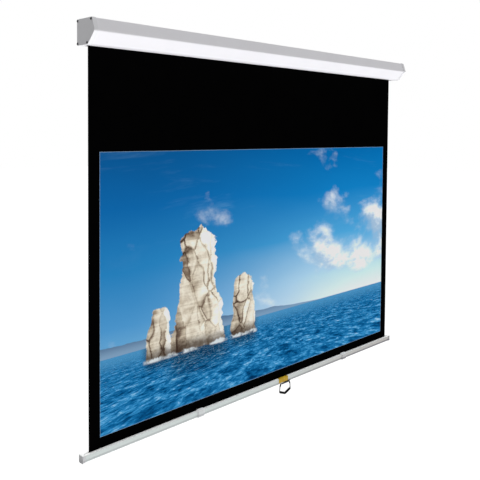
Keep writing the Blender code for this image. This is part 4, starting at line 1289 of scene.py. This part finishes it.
def makeCamera():
    data = bpy.data.cameras.new("camera")
    data.lens = camera["lens"]
    data.shift_y = camera["shiftUp"]
    data.clip_end = camera["farthest"]
    made = addObject("camera", data)
    yaw, pitch, roll = camera["yaw"], camera["pitch"], camera["roll"]
    ahead = Vector((math.sin(yaw) * math.cos(pitch), math.cos(yaw) * math.cos(pitch), math.sin(pitch)))
    right = Vector((math.cos(yaw), -math.sin(yaw), 0))
    up = right.cross(ahead)
    tiltedRight = right * math.cos(roll) + up * math.sin(roll)
    tiltedUp = up * math.cos(roll) - right * math.sin(roll)
    turn = Matrix((tiltedRight, tiltedUp, -ahead)).transposed()
    made.matrix_world = Matrix.Translation(camera["place"]) @ turn.to_4x4()
    bpy.context.scene.camera = made


# Floor, light and background

studio = {
    "floorHeight": -2.25,
    "floorSize": 60.0,
    "floorGrey": 0.16,
    "floorGlow": 0.93,
    "bounce": 0.45,
    "bounceChange": 0.02,
    "worldStrength": 0.25,
    "lampDistance": 4.0,
    "lamps": [
        # name, direction that it comes from, how wide it looks in degrees, strength on what faces it
        ("lowFront", (0.357, -0.399, -0.844), 30.0, 0.915),
        ("overhead", (0.10, -0.15, 0.98), 14.0, 0.46),
        ("highBehind", (-0.10, 0.70, 0.70), 40.0, 0.45),
    ],
}
white = (1.0, 1.0, 1.0, 1.0)


# Ends a material or world: one shader where the camera or a reflection looks, a plain one elsewhere
def seenByEye(tree, plain, seen, end):
    path = add(tree, "ShaderNodeLightPath")
    sight, glossy, through = [output(path, f"Is {ray} Ray") for ray in ("Camera", "Glossy", "Transmission")]
    eye = larger(larger(sight, glossy), through)
    both = add(tree, "ShaderNodeMixShader", {0: eye, 1: output(plain), 2: output(seen)})
    add(tree, end, {"Surface": output(both)})


def makeWorld():
    world = bpy.data.worlds.new("world")
    world.use_nodes = True
    bpy.context.scene.world = world
    tree = world.node_tree
    tree.nodes.clear()
    plain, seen = [
        add(tree, "ShaderNodeBackground", {"Color": white, "Strength": strength})
        for strength in (studio["worldStrength"], 1.0)
    ]
    seenByEye(tree, plain, seen, "ShaderNodeOutputWorld")


def makeFloor():
    half, height = studio["floorSize"] / 2, studio["floorHeight"]
    x, y = np.meshgrid([-half, half], [-half, half])
    floor = gridPiece("floor", stacked(x, y, height), solid=False)
    material = bpy.data.materials.new("floorWhite")
    material.use_nodes = True
    tree = material.node_tree
    tree.nodes.clear()
    paper = noise(objectPlace(tree), 3.0, 2.0)
    strength = varied(paper, studio["bounce"], studio["bounceChange"])
    plain = add(tree, "ShaderNodeEmission", {"Color": white, "Strength": strength})
    faint = add(tree, "ShaderNodeBsdfDiffuse", {"Color": (*[studio["floorGrey"]] * 3, 1.0)})
    glow = add(tree, "ShaderNodeEmission", {"Color": white, "Strength": studio["floorGlow"]})
    bright = add(tree, "ShaderNodeAddShader", {0: output(faint), 1: output(glow)})
    seenByEye(tree, plain, bright, "ShaderNodeOutputMaterial")
    floor.data.materials.append(material)
    floor.visible_shadow = False


# Wide far lamps, so that the whole screen is lit alike
def makeLamps():
    for name, spot, width, strength in studio["lamps"]:
        data = bpy.data.lights.new(name, "SUN")
        data.angle = math.radians(width)
        data.energy = strength * math.pi
        made = addObject(name, data)
        made.location = Vector(spot) * studio["lampDistance"]
        made.rotation_euler = Vector(spot).to_track_quat("Z", "Y").to_euler()


makeCamera()
makeWorld()
makeFloor()
makeLamps()
bpy.context.scene.view_settings.view_transform = "Standard"
print("camera, floor and light made")
